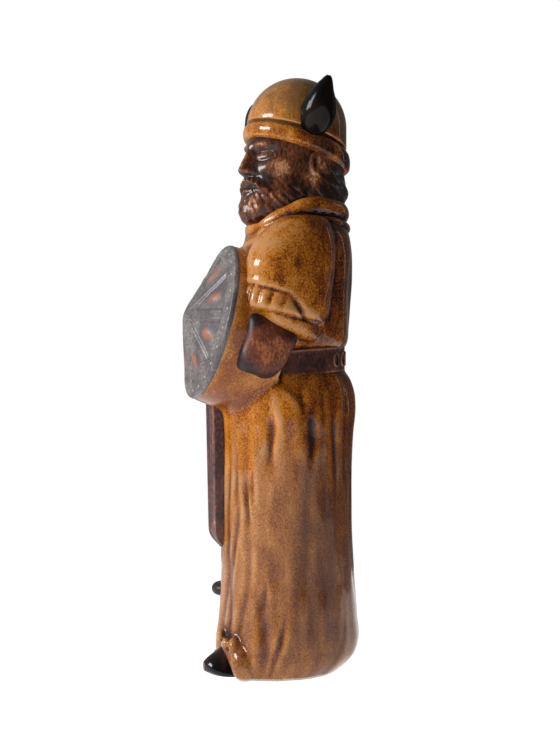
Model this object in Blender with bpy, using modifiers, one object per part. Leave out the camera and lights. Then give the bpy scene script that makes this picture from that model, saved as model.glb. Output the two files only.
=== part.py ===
"""A glazed stoneware figure of a viking warrior, cast in one piece.

The warrior stands in a long belted coat, with a horned helmet, and holds a large round shield before his chest.
A sword hangs under the shield, and the toes of his boots show under the hem.

Figure's axes: +X is his left hand, -Y the way he faces, +Z up. The origin is on the axis of the coat, in the
plane of the underside.

The forms are built one by one and run into each other. Then one skin is laid over them all, softened as glaze
softens a cast, thinned to a workable number of facets, and cut flat below.
"""

import math

import bmesh
import bpy
from mathutils import Matrix, Vector

# Driving dimensions, in metres
HEIGHT = 0.280  # from the underside to the crown of the helmet
SKIN_GRAIN = 0.00095  # spacing of the skin that is laid over the forms
FACETS = 9400  # triangles left in the finished figure

# The figure's forms are given in millimetres on a figure 280 mm tall, and grow with its height.
MM = HEIGHT / 280
NAME = "viking_warrior"
BURIED = 3.0  # how far the forms run below the underside before it is cut flat
FULL_TURN = 2 * math.pi

# The coat: height, half width, where its front and its back stand
COAT = [
    (-BURIED, 27.0, -31.0, 21.0),
    (0.0, 29.4, -32.5, 24.2),
    (3.0, 31.6, -33.6, 28.0),
    (7.0, 33.8, -34.4, 31.8),
    (13.0, 35.2, -34.6, 34.2),
    (25.0, 35.0, -33.2, 33.4),
    (45.0, 33.8, -31.8, 31.6),
    (80.0, 33.2, -31.2, 30.5),
    (110.0, 33.6, -31.5, 31.3),
    (123.0, 33.8, -32.0, 32.6),
    (131.0, 32.6, -30.8, 31.2),
    (138.0, 29.8, -28.4, 28.4),
    (143.0, 28.2, -26.8, 26.2),
    (150.0, 27.6, -26.0, 25.8),
]

# The bloused upper body, which hangs over the belt
TORSO = [
    (139.0, 26.5, -25.6, 25.0),
    (150.4, 27.0, -24.2, 25.4),
    (153.6, 29.4, -24.0, 27.9),
    (159.0, 31.0, -23.0, 28.9),
    (172.0, 31.4, -22.0, 29.4),
    (186.0, 32.4, -21.0, 30.2),
    (198.0, 33.0, -20.0, 30.0),
    (206.0, 30.5, -19.0, 28.6),
    (212.0, 24.0, -16.0, 26.0),
    (217.0, 16.0, -12.0, 21.0),
]

# Pleats pressed into the coat: angle from the front, lower and upper end, half width in degrees, depth
PLEATS = [
    (23.0, 84.0, 93.0, 3.0, 0.9),
    (36.0, 71.0, 88.0, 3.4, 1.5),
    (40.5, 82.0, 92.0, 3.0, 1.3),
    (54.0, 33.0, 43.0, 3.6, 1.5),
    (58.0, 99.0, 121.0, 3.6, 1.7),
    (65.0, 4.0, 26.0, 3.0, 1.5),
    (90.0, 103.0, 124.0, 3.8, 1.9),
    (104.0, 10.0, 60.0, 4.0, 1.0),
    (120.0, 92.0, 124.0, 3.6, 1.7),
    (131.0, 20.0, 74.0, 4.0, 1.0),
    (144.0, 98.0, 126.0, 3.2, 1.5),
    (168.0, 60.0, 122.0, 4.0, 1.6),
]
PIPES = 22  # soft folds round the coat
FRONT_FOLD_ANGLE = 76.0  # the front half of the coat stands proud up to here
FRONT_FOLD_STEP = 0.9
HEM_FLARE = 2.6  # how much the hem spreads out beside the left boot

BELT_HEIGHT = 11.0
BELT_MIDDLE = 146.0
BELT_SAG = 1.6  # how much lower it hangs in front
BELT_PROUD = 1.0
ROUNDEL_RADIUS = 2.3
ROUNDEL_WIRE = 0.8
ROUNDEL_ANGLES = range(130, 235, 13)  # they run round the back

SHIELD_CENTRE = Vector((0.0, -37.8, 163.5))
SHIELD_RADIUS = 37.0
SHIELD_THICKNESS = 17.0
SHIELD_LEAN = 13.5  # degrees that its top leans back
SHIELD_CONE = 14.0
SHIELD_TIP = 3.0  # radius of the blunt tip
SHIELD_BAND = 8.0  # width of the rim band
SHIELD_PANELS = 8
PANEL_DEPTH = 1.0
RIB_WIDTH = 1.3

SWORD_CENTRE = -4.5
SWORD_HALF_WIDTH = 7.0
SWORD_TOP = 140.0
SWORD_POINT = 57.0
SWORD_RIDGE = -39.0  # how far forward its middle ridge stands at the top
SWORD_EDGE = -35.6

HELMET_CENTRE = Vector((0.0, 4.8, 256.4))
HELMET_RADIUS = 23.8
BRIM_MIDDLE = 246.7
BRIM_SLOPE = 0.37  # rise towards the front
BRIM_WIRE = 3.4
BRIM_PROUD = 1.7
HEAD_TURN = 14.0  # degrees to his left

# The horn's middle line: out from the helmet's middle, before it, height, radius
HORN = [
    (15.0, 2.0, 252.5, 7.4),
    (24.5, 2.2, 253.6, 7.8),
    (31.0, 2.8, 259.5, 6.7),
    (34.0, 3.8, 266.5, 4.6),
    (35.2, 4.6, 272.6, 1.9),
]

COLLAR_WIRE = 4.1
COLLAR_RADII = (22.5, 21.2)


def clear_scene():
    for thing in list(bpy.data.objects):
        bpy.data.objects.remove(thing)


def collection(name):
    made = bpy.data.collections.new(name)
    bpy.context.scene.collection.children.link(made)
    return made


def material(name, colour, roughness, metallic=0.0):
    made = bpy.data.materials.new(name)
    made.use_nodes = True
    shader = made.node_tree.nodes["Principled BSDF"]
    shader.inputs["Base Color"].default_value = (*colour, 1.0)
    shader.inputs["Roughness"].default_value = roughness
    shader.inputs["Metallic"].default_value = metallic
    return made


def through(stations, at):
    """Reads a smooth curve that runs through the stations, whose first entry is their place on it."""
    last = len(stations) - 1
    at = min(max(at, stations[0][0]), stations[last][0])
    high = next(i for i in range(1, last + 1) if at <= stations[i][0])
    low = high - 1
    span = stations[high][0] - stations[low][0]
    share = (at - stations[low][0]) / span
    values = []
    for entry in range(1, len(stations[0])):
        before, after = max(low - 1, 0), min(high + 1, last)
        rise_low = (stations[high][entry] - stations[before][entry]) / (stations[high][0] - stations[before][0])
        rise_high = (stations[after][entry] - stations[low][entry]) / (stations[after][0] - stations[low][0])
        a = 2 * share**3 - 3 * share**2 + 1
        b = share**3 - 2 * share**2 + share
        c = share**3 - share**2
        values.append(
            a * stations[low][entry] + (1 - a) * stations[high][entry] + span * (b * rise_low + c * rise_high)
        )
    return values


def hump(value, width):
    """A smooth hump: 1 in the middle and near 0 past its width."""
    return math.exp(-((value / width) ** 2))


def window(value, low, high, soft):
    """Near 1 between low and high, fading over a soft stretch at both ends."""
    return 1 / ((1 + math.exp((low - value) / soft)) * (1 + math.exp((value - high) / soft)))


def form(name, mesh):
    """Turns a bmesh in the figure's millimetres into an object in metres."""
    bmesh.ops.recalc_face_normals(mesh, faces=mesh.faces)
    data = bpy.data.meshes.new(name)
    mesh.to_mesh(data)
    mesh.free()
    data.transform(Matrix.Scale(MM, 4))
    made = bpy.data.objects.new(name, data)
    FORMS.objects.link(made)
    return made


def loft(name, rings):
    """A closed skin over rings of points that all have the same count."""
    mesh = bmesh.new()
    loops = [[mesh.verts.new(point) for point in ring] for ring in rings]
    for lower, upper in zip(loops, loops[1:]):
        for i in range(len(lower)):
            j = (i + 1) % len(lower)
            mesh.faces.new((lower[i], lower[j], upper[j], upper[i]))
    mesh.faces.new(loops[0][::-1])
    mesh.faces.new(loops[-1])
    return form(name, mesh)


def ellipsoid(name, centre, radii, turn=None):
    mesh = bmesh.new()
    bmesh.ops.create_uvsphere(mesh, u_segments=32, v_segments=20, radius=1.0)
    place = Matrix.Translation(centre) @ (turn or Matrix.Identity(4)) @ Matrix.Diagonal((*radii, 1.0))
    bmesh.ops.transform(mesh, matrix=place, verts=mesh.verts)
    return form(name, mesh)


def rod(name, points, radii, cyclic=False):
    """A round bar along the points: a bevelled curve made into a mesh, its caps welded on."""
    curve = bpy.data.curves.new(name, "CURVE")
    curve.dimensions = "3D"
    curve.bevel_depth = 1.0
    curve.bevel_resolution = 4
    curve.use_fill_caps = True
    spline = curve.splines.new("POLY")
    spline.points.add(len(points) - 1)
    spline.use_cyclic_u = cyclic
    for spot, point, radius in zip(spline.points, points, radii):
        spot.co = (*point, 1.0)
        spot.radius = radius
    guide = bpy.data.objects.new(name, curve)
    FORMS.objects.link(guide)
    bpy.context.view_layer.update()
    graph = bpy.context.evaluated_depsgraph_get()
    mesh = bmesh.new()
    mesh.from_mesh(bpy.data.meshes.new_from_object(guide.evaluated_get(graph)))
    bpy.data.objects.remove(guide)
    bmesh.ops.remove_doubles(mesh, verts=mesh.verts, dist=0.0001)
    return form(name, mesh)


def mirrored(build, name):
    """Builds a form on his left, and the same form on his right."""
    for side, label in ((1, "left"), (-1, "right")):
        build(f"{label}_{name}", side)


def drapery(angle, height):
    """How far the coat's cloth stands out, or sinks in, at an angle in degrees and a height."""
    around = math.radians(angle)
    side = abs((angle + 180) % 360 - 180)
    drift = 0.06 * math.sin(height / 24 + 3 * around) + 0.04 * math.sin(height / 11 + 5 * around)
    pipe = abs(math.cos(PIPES / 2 * (around + drift)))
    gather = 0.35 + 0.55 * window(height, 92, 128, 5) + 0.35 * window(height, -5, 40, 12)
    relief = gather * 1.25 * (pipe**0.7 - 0.7)
    for middle, low, high, width, depth in PLEATS:
        relief -= depth * hump(side - middle, width) * window(height, low, high, 2.2)
    relief += FRONT_FOLD_STEP / (1 + math.exp((side - FRONT_FOLD_ANGLE) / 2.0)) * window(height, 8, 126, 5)
    relief += HEM_FLARE * hump(angle - 47, 24) * window(height, -20, 9, 3)
    # The slit in front, under the sword, in which the right boot stands
    slit_width = 13.0 * window(height, -20, 44, 4)
    relief -= 4.5 * window(angle, -17 - slit_width, -17 + slit_width * 0.7, 1.4) * window(height, -20, 46, 3)
    return relief * window(height, -20, 134, 2.5)


def coat():
    rings = []
    steps, count = 110, 180
    for step in range(steps + 1):
        height = COAT[0][0] + (COAT[-1][0] - COAT[0][0]) * step / steps
        half_width, front, back = through(COAT, height)
        middle, half_depth = (front + back) / 2, (back - front) / 2
        ring = []
        for i in range(count):
            angle = 360 * i / count - 180
            around = math.radians(angle)
            out = drapery(angle, height)
            ring.append(
                (
                    (half_width + out) * math.sin(around),
                    middle - (half_depth + out) * math.cos(around),
                    height,
                )
            )
        rings.append(ring)
    loft("coat", rings)


def torso():
    rings = []
    steps, count = 48, 96
    for step in range(steps + 1):
        height = TORSO[0][0] + (TORSO[-1][0] - TORSO[0][0]) * step / steps
        half_width, front, back = through(TORSO, height)
        middle, half_depth = (front + back) / 2, (back - front) / 2
        ring = []
        for i in range(count):
            around = FULL_TURN * i / count
            crease = 0.55 * math.cos(13 * around + 0.8 * math.sin(height / 9)) * window(height, 150, 190, 6)
            ring.append(
                (
                    (half_width + crease) * math.sin(around),
                    middle - (half_depth + crease) * math.cos(around),
                    height,
                )
            )
        rings.append(ring)
    loft("torso", rings)


def belt():
    """A band round the waist with a row of rings round the back."""
    low, high = BELT_MIDDLE - BELT_HEIGHT / 2, BELT_MIDDLE + BELT_HEIGHT / 2
    profile = [(low - 0.6, -4.0), (low, 0.4), (low + 1.0, 1.0), (high - 1.0, 1.0), (high, 0.4), (high + 0.6, -4.0)]
    half_width, front, back = through(COAT, BELT_MIDDLE)
    middle, half_depth = (front + back) / 2, (back - front) / 2

    def on_waist(angle, height, out):
        around = math.radians(angle)
        return Vector(
            (
                (half_width + out) * math.sin(around),
                middle - (half_depth + out) * math.cos(around),
                height - BELT_SAG * math.cos(around),
            )
        )

    loft(
        "belt",
        [[on_waist(4 * i, height, BELT_PROUD * out) for i in range(90)] for height, out in profile],
    )
    for angle in ROUNDEL_ANGLES:
        centre = on_waist(angle, BELT_MIDDLE, BELT_PROUD)
        around = math.radians(angle)
        across = Vector((math.cos(around), math.sin(around), 0.0))
        circle = [
            centre + ROUNDEL_RADIUS * (math.cos(turn) * across + math.sin(turn) * Vector((0, 0, 1.25)))
            for turn in (FULL_TURN * k / 20 for k in range(20))
        ]
        rod(f"roundel_{angle}", circle, [ROUNDEL_WIRE] * 20, cyclic=True)


def collar():
    """A thick rolled neckband, lower in front and carried up over the shoulders."""
    points = []
    for i in range(72):
        around = FULL_TURN * i / 72
        height = 210.2 - 5.0 * math.cos(around) + 4.0 * math.sin(around) ** 2
        points.append(
            (COLLAR_RADII[0] * math.sin(around), 4.8 - COLLAR_RADII[1] * math.cos(around), height)
        )
    rod("collar", points, [COLLAR_WIRE] * 72, cyclic=True)


def sleeve(name, side):
    """The wide upper sleeve: height, slope back, out, forward, half width, half depth of each ring."""
    stations = [
        (0.0, 211.0, 0.00, 24.5, 3.0, 2.5, 4.0),
        (1.0, 209.2, 0.00, 26.5, 0.5, 8.5, 10.5),
        (2.0, 203.5, 0.00, 28.0, -3.5, 12.6, 17.0),
        (3.0, 196.0, -0.05, 29.2, -6.2, 14.0, 20.0),
        (4.0, 188.0, -0.10, 29.9, -7.7, 14.4, 20.6),
        (5.0, 181.0, -0.17, 30.2, -8.8, 14.4, 20.2),
        (5.5, 178.6, -0.20, 30.2, -9.2, 13.6, 19.4),
        (6.0, 175.5, -0.24, 30.3, -9.6, 14.8, 20.2),
        (7.0, 169.5, -0.32, 30.2, -10.3, 14.8, 19.6),
        (8.0, 164.0, -0.42, 29.8, -10.8, 13.8, 17.8),
        (9.0, 159.6, -0.50, 29.0, -10.8, 12.4, 14.4),
    ]
    rings = []
    steps, count = 54, 96
    for step in range(steps + 1):
        place = stations[-1][0] * step / steps
        height, slope, out, forward, half_width, half_depth = through(stations, place)
        ring = []
        for i in range(count):
            around = FULL_TURN * i / count
            pleat = 0.9 * (abs(math.cos(7 * around)) - 0.6) * window(place, 5.7, 7.6, 0.15)
            crease = 0.35 * math.cos(5 * around + place) * window(place, 2.5, 5.0, 0.4)
            swell = pleat + crease
            y = forward - (half_depth + swell) * math.cos(around)
            ring.append(
                (
                    side * (out + (half_width + swell) * math.sin(around)),
                    y,
                    height + slope * (y - forward),
                )
            )
        rings.append(ring)
    loft(name, rings)


def gauntlet(name, side):
    """The forearm in its thick leather sleeve, from the elbow to the back of the shield."""
    stations = [
        (0.0, 29.0, -2.0, 157.0, 8.0, 9.0),
        (1.0, 29.0, -6.0, 153.8, 11.0, 12.5),
        (2.0, 28.5, -13.0, 151.0, 12.2, 14.0),
        (3.0, 27.5, -21.0, 150.0, 12.0, 13.8),
        (4.0, 25.5, -28.5, 150.5, 10.5, 11.8),
        (5.0, 23.5, -34.0, 151.5, 8.5, 9.0),
    ]
    rings = []
    for step in range(31):
        out, forward, height, half_width, half_height = through(stations, 5.0 * step / 30)
        rings.append(
            [
                (
                    side * (out + half_width * math.sin(turn)),
                    forward,
                    height - half_height * math.cos(turn),
                )
                for turn in (FULL_TURN * i / 48 for i in range(48))
            ]
        )
    loft(name, rings)


def shield_face(radius, turn):
    """Height of the shield's face: a blunt cone with sunk triangular panels between ribs."""
    height = SHIELD_CONE * (1 - max(radius, SHIELD_TIP) / SHIELD_RADIUS)
    sector = (turn * SHIELD_PANELS / FULL_TURN) % 1.0
    to_rib = min(sector, 1 - sector) * FULL_TURN / SHIELD_PANELS * radius
    inner_end = SHIELD_TIP + 4.0
    outer_end = SHIELD_RADIUS - SHIELD_BAND
    sunk = window(to_rib, RIB_WIDTH, 99, 0.25) * window(radius, inner_end, outer_end, 0.3)
    boss = hump(sector - 0.5, 0.16) * hump(radius - 0.62 * outer_end, 4.5)
    return height - PANEL_DEPTH * sunk + 1.1 * PANEL_DEPTH * boss * sunk


def shield():
    place = (
        Matrix.Translation(SHIELD_CENTRE)
        @ Matrix.Rotation(-math.radians(SHIELD_LEAN), 4, "X")
        @ Matrix.Rotation(math.radians(90), 4, "X")
    )
    count = 128
    turns = [FULL_TURN * i / count for i in range(count)]

    def circle(radius, height_at):
        return [
            place @ Vector((radius * math.cos(turn), radius * math.sin(turn), height_at(radius, turn)))
            for turn in turns
        ]

    rings = [
        circle(SHIELD_RADIUS - 1.0, lambda r, t: -SHIELD_THICKNESS),
        circle(SHIELD_RADIUS, lambda r, t: -SHIELD_THICKNESS + 1.0),
        circle(SHIELD_RADIUS, lambda r, t: -0.4),
    ]
    steps = 44
    for step in range(steps):
        radius = (SHIELD_RADIUS - 0.4) * (1 - step / steps)
        rings.append(circle(radius, shield_face))
    loft("shield", rings)


def sword():
    """The blade in its scabbard: a flat bar with a middle ridge and a slanting point."""
    top, ridge_line = SWORD_TOP, SWORD_RIDGE
    stations = [
        (SWORD_POINT, 3.0, -31.5, -32.2),
        (SWORD_POINT + 4.5, 6.2, -35.0, -37.2),
        (SWORD_POINT + 16.0, SWORD_HALF_WIDTH, SWORD_EDGE + 0.8, ridge_line + 1.2),
        (top, SWORD_HALF_WIDTH + 0.6, SWORD_EDGE, ridge_line),
    ]
    rings = []
    for height, half_width, edge, ridge in stations:
        rings.append(
            [
                (SWORD_CENTRE - half_width, -20.0, height),
                (SWORD_CENTRE - half_width, edge, height),
                (SWORD_CENTRE - 0.45 * half_width, (edge + ridge) / 2 + 0.5, height),
                (SWORD_CENTRE, ridge, height),
                (SWORD_CENTRE + 0.45 * half_width, (edge + ridge) / 2 + 0.5, height),
                (SWORD_CENTRE + half_width, edge, height),
                (SWORD_CENTRE + half_width, -20.0, height),
            ]
        )
    loft("sword", rings)


def boots():
    """His left toe under the hem, and the right boot in the slit of the coat."""
    left_turn = Matrix.Rotation(math.radians(6), 4, "Z")
    ellipsoid("left_toe", (6.5, -30.4, 2.0), (8.6, 11.6, 11.4), left_turn)
    ellipsoid("left_instep", (8.0, -25.0, 5.0), (9.0, 11.0, 12.5), left_turn)
    right_turn = Matrix.Rotation(math.radians(-24), 4, "Z")
    ellipsoid("right_toe", (-10.5, -25.5, 1.5), (7.0, 9.0, 8.0), right_turn)
    rod("right_shaft", [(-8.5, -24.5, z) for z in (2, 14, 26, 36)], [6.6, 5.8, 6.0, 6.4])
    cuff = [
        (-8.5 + 5.2 * math.sin(turn), -26.6 - 5.0 * math.cos(turn), 36.6)
        for turn in (FULL_TURN * k / 28 for k in range(28))
    ]
    rod("right_cuff", cuff, [3.0] * 28, cyclic=True)


def hem():
    """The folded lip where the coat parts over the left boot, with two small curls above it."""
    turn = Matrix.Rotation(math.radians(34), 4, "Z") @ Matrix.Rotation(math.radians(-22), 4, "Y")
    ellipsoid("hem_lip", (17.6, -29.6, 6.5), (4.4, 4.6, 10.0), turn)
    ellipsoid("upper_curl", (7.3, -34.2, 17.2), (2.3, 1.9, 2.5))
    ellipsoid("lower_curl", (13.2, -32.9, 14.2), (3.0, 2.2, 2.6))


def in_head(left, forward, up):
    """A point given from the middle of the helmet's brim, in the turned head's own directions."""
    turn = math.radians(HEAD_TURN)
    across = Vector((math.cos(turn), math.sin(turn), 0.0))
    ahead = Vector((math.sin(turn), -math.cos(turn), 0.0))
    return Vector((HELMET_CENTRE.x, HELMET_CENTRE.y, BRIM_MIDDLE + up)) + left * across + forward * ahead


def face_relief(left, up):
    """How far the features stand out from the plain front of the head. Up counts from the brim's middle."""
    side = abs(left)
    relief = 1.9 * hump(side - 7.0, 6.0) * hump(up + 1.2, 2.2)
    relief -= 3.0 * hump(side - 8.0, 4.4) * hump(up + 6.0, 2.9)
    relief += 2.2 * hump(side - 8.0, 3.0) * hump(up + 6.4, 1.9)
    relief += 1.7 * hump(side - 12.0, 5.0) * hump(up + 12.0, 4.2)
    nose = min(max((-2.0 - up) / 12.0, 0.0), 1.0)
    relief += (1.6 + 5.4 * nose) * hump(left, 2.3 + 1.5 * nose) * window(up, -14.6, 2.0, 0.7)
    relief += 1.5 * hump(side - 3.6, 1.7) * hump(up + 13.4, 1.7)
    # Moustache, drooping to the sides over the mouth
    relief += 2.6 * hump(up + 17.4 + 0.045 * side**2, 1.9) * window(side, -9, 9.5, 1.2)
    relief -= 1.1 * hump(left, 5.0) * hump(up + 20.6, 0.8)
    relief += 1.3 * hump(left, 3.6) * hump(up + 22.2, 1.1)
    return relief


def beard_locks(left, up):
    """Locks that run down and in towards the chin."""
    lean = left * (1 + 0.03 * (up + 22))
    return 0.55 * math.cos(1.55 * lean + 0.6 * math.sin(0.35 * up)) * window(up, -44, -20.5, 1.2)


def head():
    rings = []
    steps, count = 64, 96
    # Up from the brim's middle: half width, half depth in front and behind
    stations = [
        (-41.0, 9.0, 12.0, 9.0),
        (-38.0, 12.5, 24.5, 14.0),
        (-34.0, 15.8, 29.4, 16.5),
        (-28.0, 17.8, 29.4, 18.5),
        (-22.0, 18.8, 27.2, 19.5),
        (-14.0, 19.4, 25.8, 20.5),
        (-6.0, 20.0, 25.4, 21.5),
        (2.0, 20.6, 24.0, 22.0),
        (12.0, 18.0, 19.0, 19.0),
    ]
    for step in range(steps + 1):
        up = stations[0][0] + (stations[-1][0] - stations[0][0]) * step / steps
        half_width, front, back = through(stations, up)
        ring = []
        for i in range(count):
            around = FULL_TURN * i / count
            depth = front if math.cos(around) > 0 else back
            left, forward = half_width * math.sin(around), depth * math.cos(around)
            if forward > 0:
                facing = min(1.0, 1.6 * math.cos(around))
                forward += facing * (face_relief(left, up) + beard_locks(left, up))
            ring.append(in_head(left, forward, up))
        rings.append(ring)
    loft("head", rings)


def hair():
    """Hair that falls from under the helmet over the ears and rolls up at the nape."""
    rings = []
    stations = [
        (-37.0, 15.0, 15.0),
        (-33.5, 19.4, 19.5),
        (-27.0, 21.4, 22.6),
        (-21.5, 21.8, 25.2),
        (-15.0, 21.0, 23.4),
        (-6.0, 21.6, 21.6),
        (2.0, 21.6, 21.6),
        (10.0, 18.0, 18.0),
    ]
    steps, count = 44, 120
    for step in range(steps + 1):
        up = stations[0][0] + (stations[-1][0] - stations[0][0]) * step / steps
        half_width, back = through(stations, up)
        ring = []
        for i in range(count):
            around = FULL_TURN * i / count
            lock = 0.7 * math.cos(15 * around + 0.16 * up + 0.9 * math.sin(3 * around))
            lock *= window(up, -36, 0, 2)
            # The front of this ring stays behind the cheeks
            depth = 9.0 - 0.22 * (up + 20) if math.cos(around) > 0 else back + lock
            ring.append(in_head((half_width + lock) * math.sin(around), depth * math.cos(around), up))
        rings.append(ring)
    loft("hair", rings)


def brim_height(y):
    return BRIM_MIDDLE - BRIM_SLOPE * (y - HELMET_CENTRE.y)


def helmet():
    """A round cap with a slanting lower edge, and a roll along that edge."""
    count, skirt, dome = 96, 6, 22
    turns = [FULL_TURN * i / count for i in range(count)]
    rings = []
    for step in range(skirt):
        ring = []
        for turn in turns:
            x = HELMET_RADIUS * math.sin(turn)
            y = HELMET_CENTRE.y - HELMET_RADIUS * math.cos(turn)
            low = min(brim_height(y), HELMET_CENTRE.z - 0.6)
            ring.append((x, y, low + (HELMET_CENTRE.z - low) * step / skirt))
        rings.append(ring)
    for step in range(dome):
        rise = math.radians(90 * step / dome)
        radius = HELMET_RADIUS * math.cos(rise)
        height = HELMET_CENTRE.z + HELMET_RADIUS * math.sin(rise)
        rings.append([(radius * math.sin(t), HELMET_CENTRE.y - radius * math.cos(t), height) for t in turns])
    loft("helmet", rings)
    roll_radius = HELMET_RADIUS + BRIM_PROUD - BRIM_WIRE
    roll = []
    for turn in turns:
        y = HELMET_CENTRE.y - roll_radius * math.cos(turn)
        roll.append((roll_radius * math.sin(turn), y, brim_height(y)))
    rod("brim", roll, [BRIM_WIRE] * count, cyclic=True)


def horn(name, side):
    """A fat horn that grows out of the helmet's side and turns up to a blunt tip."""
    stations = [(float(i), *place) for i, place in enumerate(HORN)]
    last = stations[-1][0]
    points, radii = [], []
    for step in range(25):
        reach, forward, height, radius = through(stations, last * step / 24)
        points.append(in_head(side * reach, forward, height - BRIM_MIDDLE))
        radii.append(radius)
    tip = points[-1] + (points[-1] - points[-2]).normalized() * radii[-1] * 0.8
    rod(name, points + [tip], radii + [radii[-1] * 0.45])


def apply_modifiers(thing):
    """Replaces the object's mesh by what its modifiers make of it."""
    bpy.context.view_layer.update()
    graph = bpy.context.evaluated_depsgraph_get()
    made = bpy.data.meshes.new_from_object(thing.evaluated_get(graph))
    thing.modifiers.clear()
    thing.data = made


def joined(name):
    """All the forms as one loose mesh."""
    mesh = bmesh.new()
    for thing in list(FORMS.objects):
        mesh.from_mesh(thing.data)
        bpy.data.objects.remove(thing)
    data = bpy.data.meshes.new(name)
    mesh.to_mesh(data)
    mesh.free()
    made = bpy.data.objects.new(name, data)
    bpy.data.collections[NAME].objects.link(made)
    return made


def keep_largest_body(mesh):
    """Drops crumbs that the remesh may leave inside the skin."""
    left = set(mesh.verts)
    bodies = []
    while left:
        body, edge = set(), [left.pop()]
        while edge:
            vert = edge.pop()
            body.add(vert)
            for link in vert.link_edges:
                other = link.other_vert(vert)
                if other in left:
                    left.discard(other)
                    edge.append(other)
        bodies.append(body)
    bodies.sort(key=len)
    crumbs = [vert for body in bodies[:-1] for vert in body]
    bmesh.ops.delete(mesh, geom=crumbs, context="VERTS")


def melt(thing):
    """One closed skin round all the forms, with few facets and a flat underside."""
    remesh = thing.modifiers.new("one_skin", "REMESH")
    remesh.mode = "VOXEL"
    remesh.voxel_size = SKIN_GRAIN
    apply_modifiers(thing)
    smooth = thing.modifiers.new("glaze", "SMOOTH")
    smooth.factor = 0.5
    smooth.iterations = 1
    thin = thing.modifiers.new("fewer_facets", "DECIMATE")
    thin.ratio = FACETS / (2 * len(thing.data.polygons))
    apply_modifiers(thing)

    mesh = bmesh.new()
    mesh.from_mesh(thing.data)
    cut = bmesh.ops.bisect_plane(
        mesh,
        geom=mesh.verts[:] + mesh.edges[:] + mesh.faces[:],
        dist=1e-7,
        plane_co=(0, 0, 0),
        plane_no=(0, 0, -1),
        clear_outer=True,
    )
    rim = [part for part in cut["geom_cut"] if isinstance(part, bmesh.types.BMEdge)]
    bmesh.ops.contextual_create(mesh, geom=rim)
    keep_largest_body(mesh)
    bmesh.ops.recalc_face_normals(mesh, faces=mesh.faces)
    mesh.to_mesh(thing.data)
    mesh.free()


def main():
    coat()
    torso()
    belt()
    collar()
    mirrored(sleeve, "sleeve")
    mirrored(gauntlet, "gauntlet")
    shield()
    sword()
    boots()
    hem()
    head()
    hair()
    helmet()
    mirrored(horn, "horn")
    figure = joined(NAME)
    melt(figure)
    figure.data.materials.clear()
    figure.data.materials.append(material("amber_glaze", (0.30, 0.13, 0.035), 0.12))
    figure.data.shade_smooth()
    figure.data.set_sharp_from_angle(angle=math.radians(40))
    bpy.data.collections.remove(FORMS)


clear_scene()
collection(NAME)
FORMS = collection("forms")
main()
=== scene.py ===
# %% [markdown]
# # A glazed stoneware warrior
# The object is a shelf figure, 28 cm tall, cast from liquid clay in a plaster mould and dipped in thick glaze.
# Such a cast has no sharp edges: every form runs softly into the next, and the glaze softens it once more.
# So the lesson models each form roughly, melts neighbouring forms into one skin, and lets the glaze's colours
# follow the relief: dark where it pools in hollows, thin and pale where it runs off an edge.

# %% Load the solid model that this dresses
import math
from functools import partial

import bpy
import numpy as np
from mathutils import Matrix, Vector
from numpy import cos, sin


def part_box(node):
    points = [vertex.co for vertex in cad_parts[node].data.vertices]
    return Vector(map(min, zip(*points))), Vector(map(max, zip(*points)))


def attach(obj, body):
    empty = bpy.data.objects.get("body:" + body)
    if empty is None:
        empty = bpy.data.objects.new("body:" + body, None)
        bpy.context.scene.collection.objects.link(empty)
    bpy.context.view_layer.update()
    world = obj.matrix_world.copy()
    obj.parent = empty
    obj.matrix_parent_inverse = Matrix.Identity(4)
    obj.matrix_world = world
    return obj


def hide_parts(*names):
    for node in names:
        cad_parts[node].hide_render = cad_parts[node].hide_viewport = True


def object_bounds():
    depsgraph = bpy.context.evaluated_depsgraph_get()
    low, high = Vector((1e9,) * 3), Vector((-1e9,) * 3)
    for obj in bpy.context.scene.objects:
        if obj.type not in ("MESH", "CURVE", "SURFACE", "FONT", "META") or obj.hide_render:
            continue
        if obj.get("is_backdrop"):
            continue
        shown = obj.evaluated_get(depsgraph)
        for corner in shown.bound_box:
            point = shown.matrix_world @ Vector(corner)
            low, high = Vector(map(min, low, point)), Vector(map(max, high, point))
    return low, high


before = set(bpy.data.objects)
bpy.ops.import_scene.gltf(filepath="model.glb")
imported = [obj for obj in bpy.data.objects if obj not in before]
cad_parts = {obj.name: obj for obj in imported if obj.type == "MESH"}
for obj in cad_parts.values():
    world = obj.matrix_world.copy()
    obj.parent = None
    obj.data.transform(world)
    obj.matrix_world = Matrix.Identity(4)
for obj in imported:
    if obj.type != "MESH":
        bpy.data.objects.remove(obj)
solid_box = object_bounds()
NODE = "viking_warrior"
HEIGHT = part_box(NODE)[1].z
MM = HEIGHT / 280.2
print("the solid stands", round(HEIGHT * 1000, 1), "mm tall")

# %% [markdown]
# ## The camera
# The photograph looks at the figure's left side, a little from the front, level and from close by.
# A camera that stands at half the figure's height and looks straight ahead keeps the uprights upright.

# %% Camera
VIEW_ANGLE = math.radians(73.0)  # round from the figure's front, towards its left hand
VIEW_DISTANCE = 573.8
VIEW_HEIGHT = 139.2
VIEW_OFFSET = 3.35  # the figure stands this far right of the picture's middle
LENS = 57.8

toward_camera = Vector((math.sin(VIEW_ANGLE), -math.cos(VIEW_ANGLE), 0.0))
picture_right = Vector((math.cos(VIEW_ANGLE), math.sin(VIEW_ANGLE), 0.0))
upward = Vector((0, 0, 1))
bpy.ops.object.camera_add(
    location=MM * (VIEW_DISTANCE * toward_camera - VIEW_OFFSET * picture_right + VIEW_HEIGHT * upward),
    rotation=(math.radians(90), 0, VIEW_ANGLE),
)
camera = bpy.context.active_object
camera.data.lens = LENS
bpy.context.scene.camera = camera
print("camera at", [round(part, 3) for part in camera.location])

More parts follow.
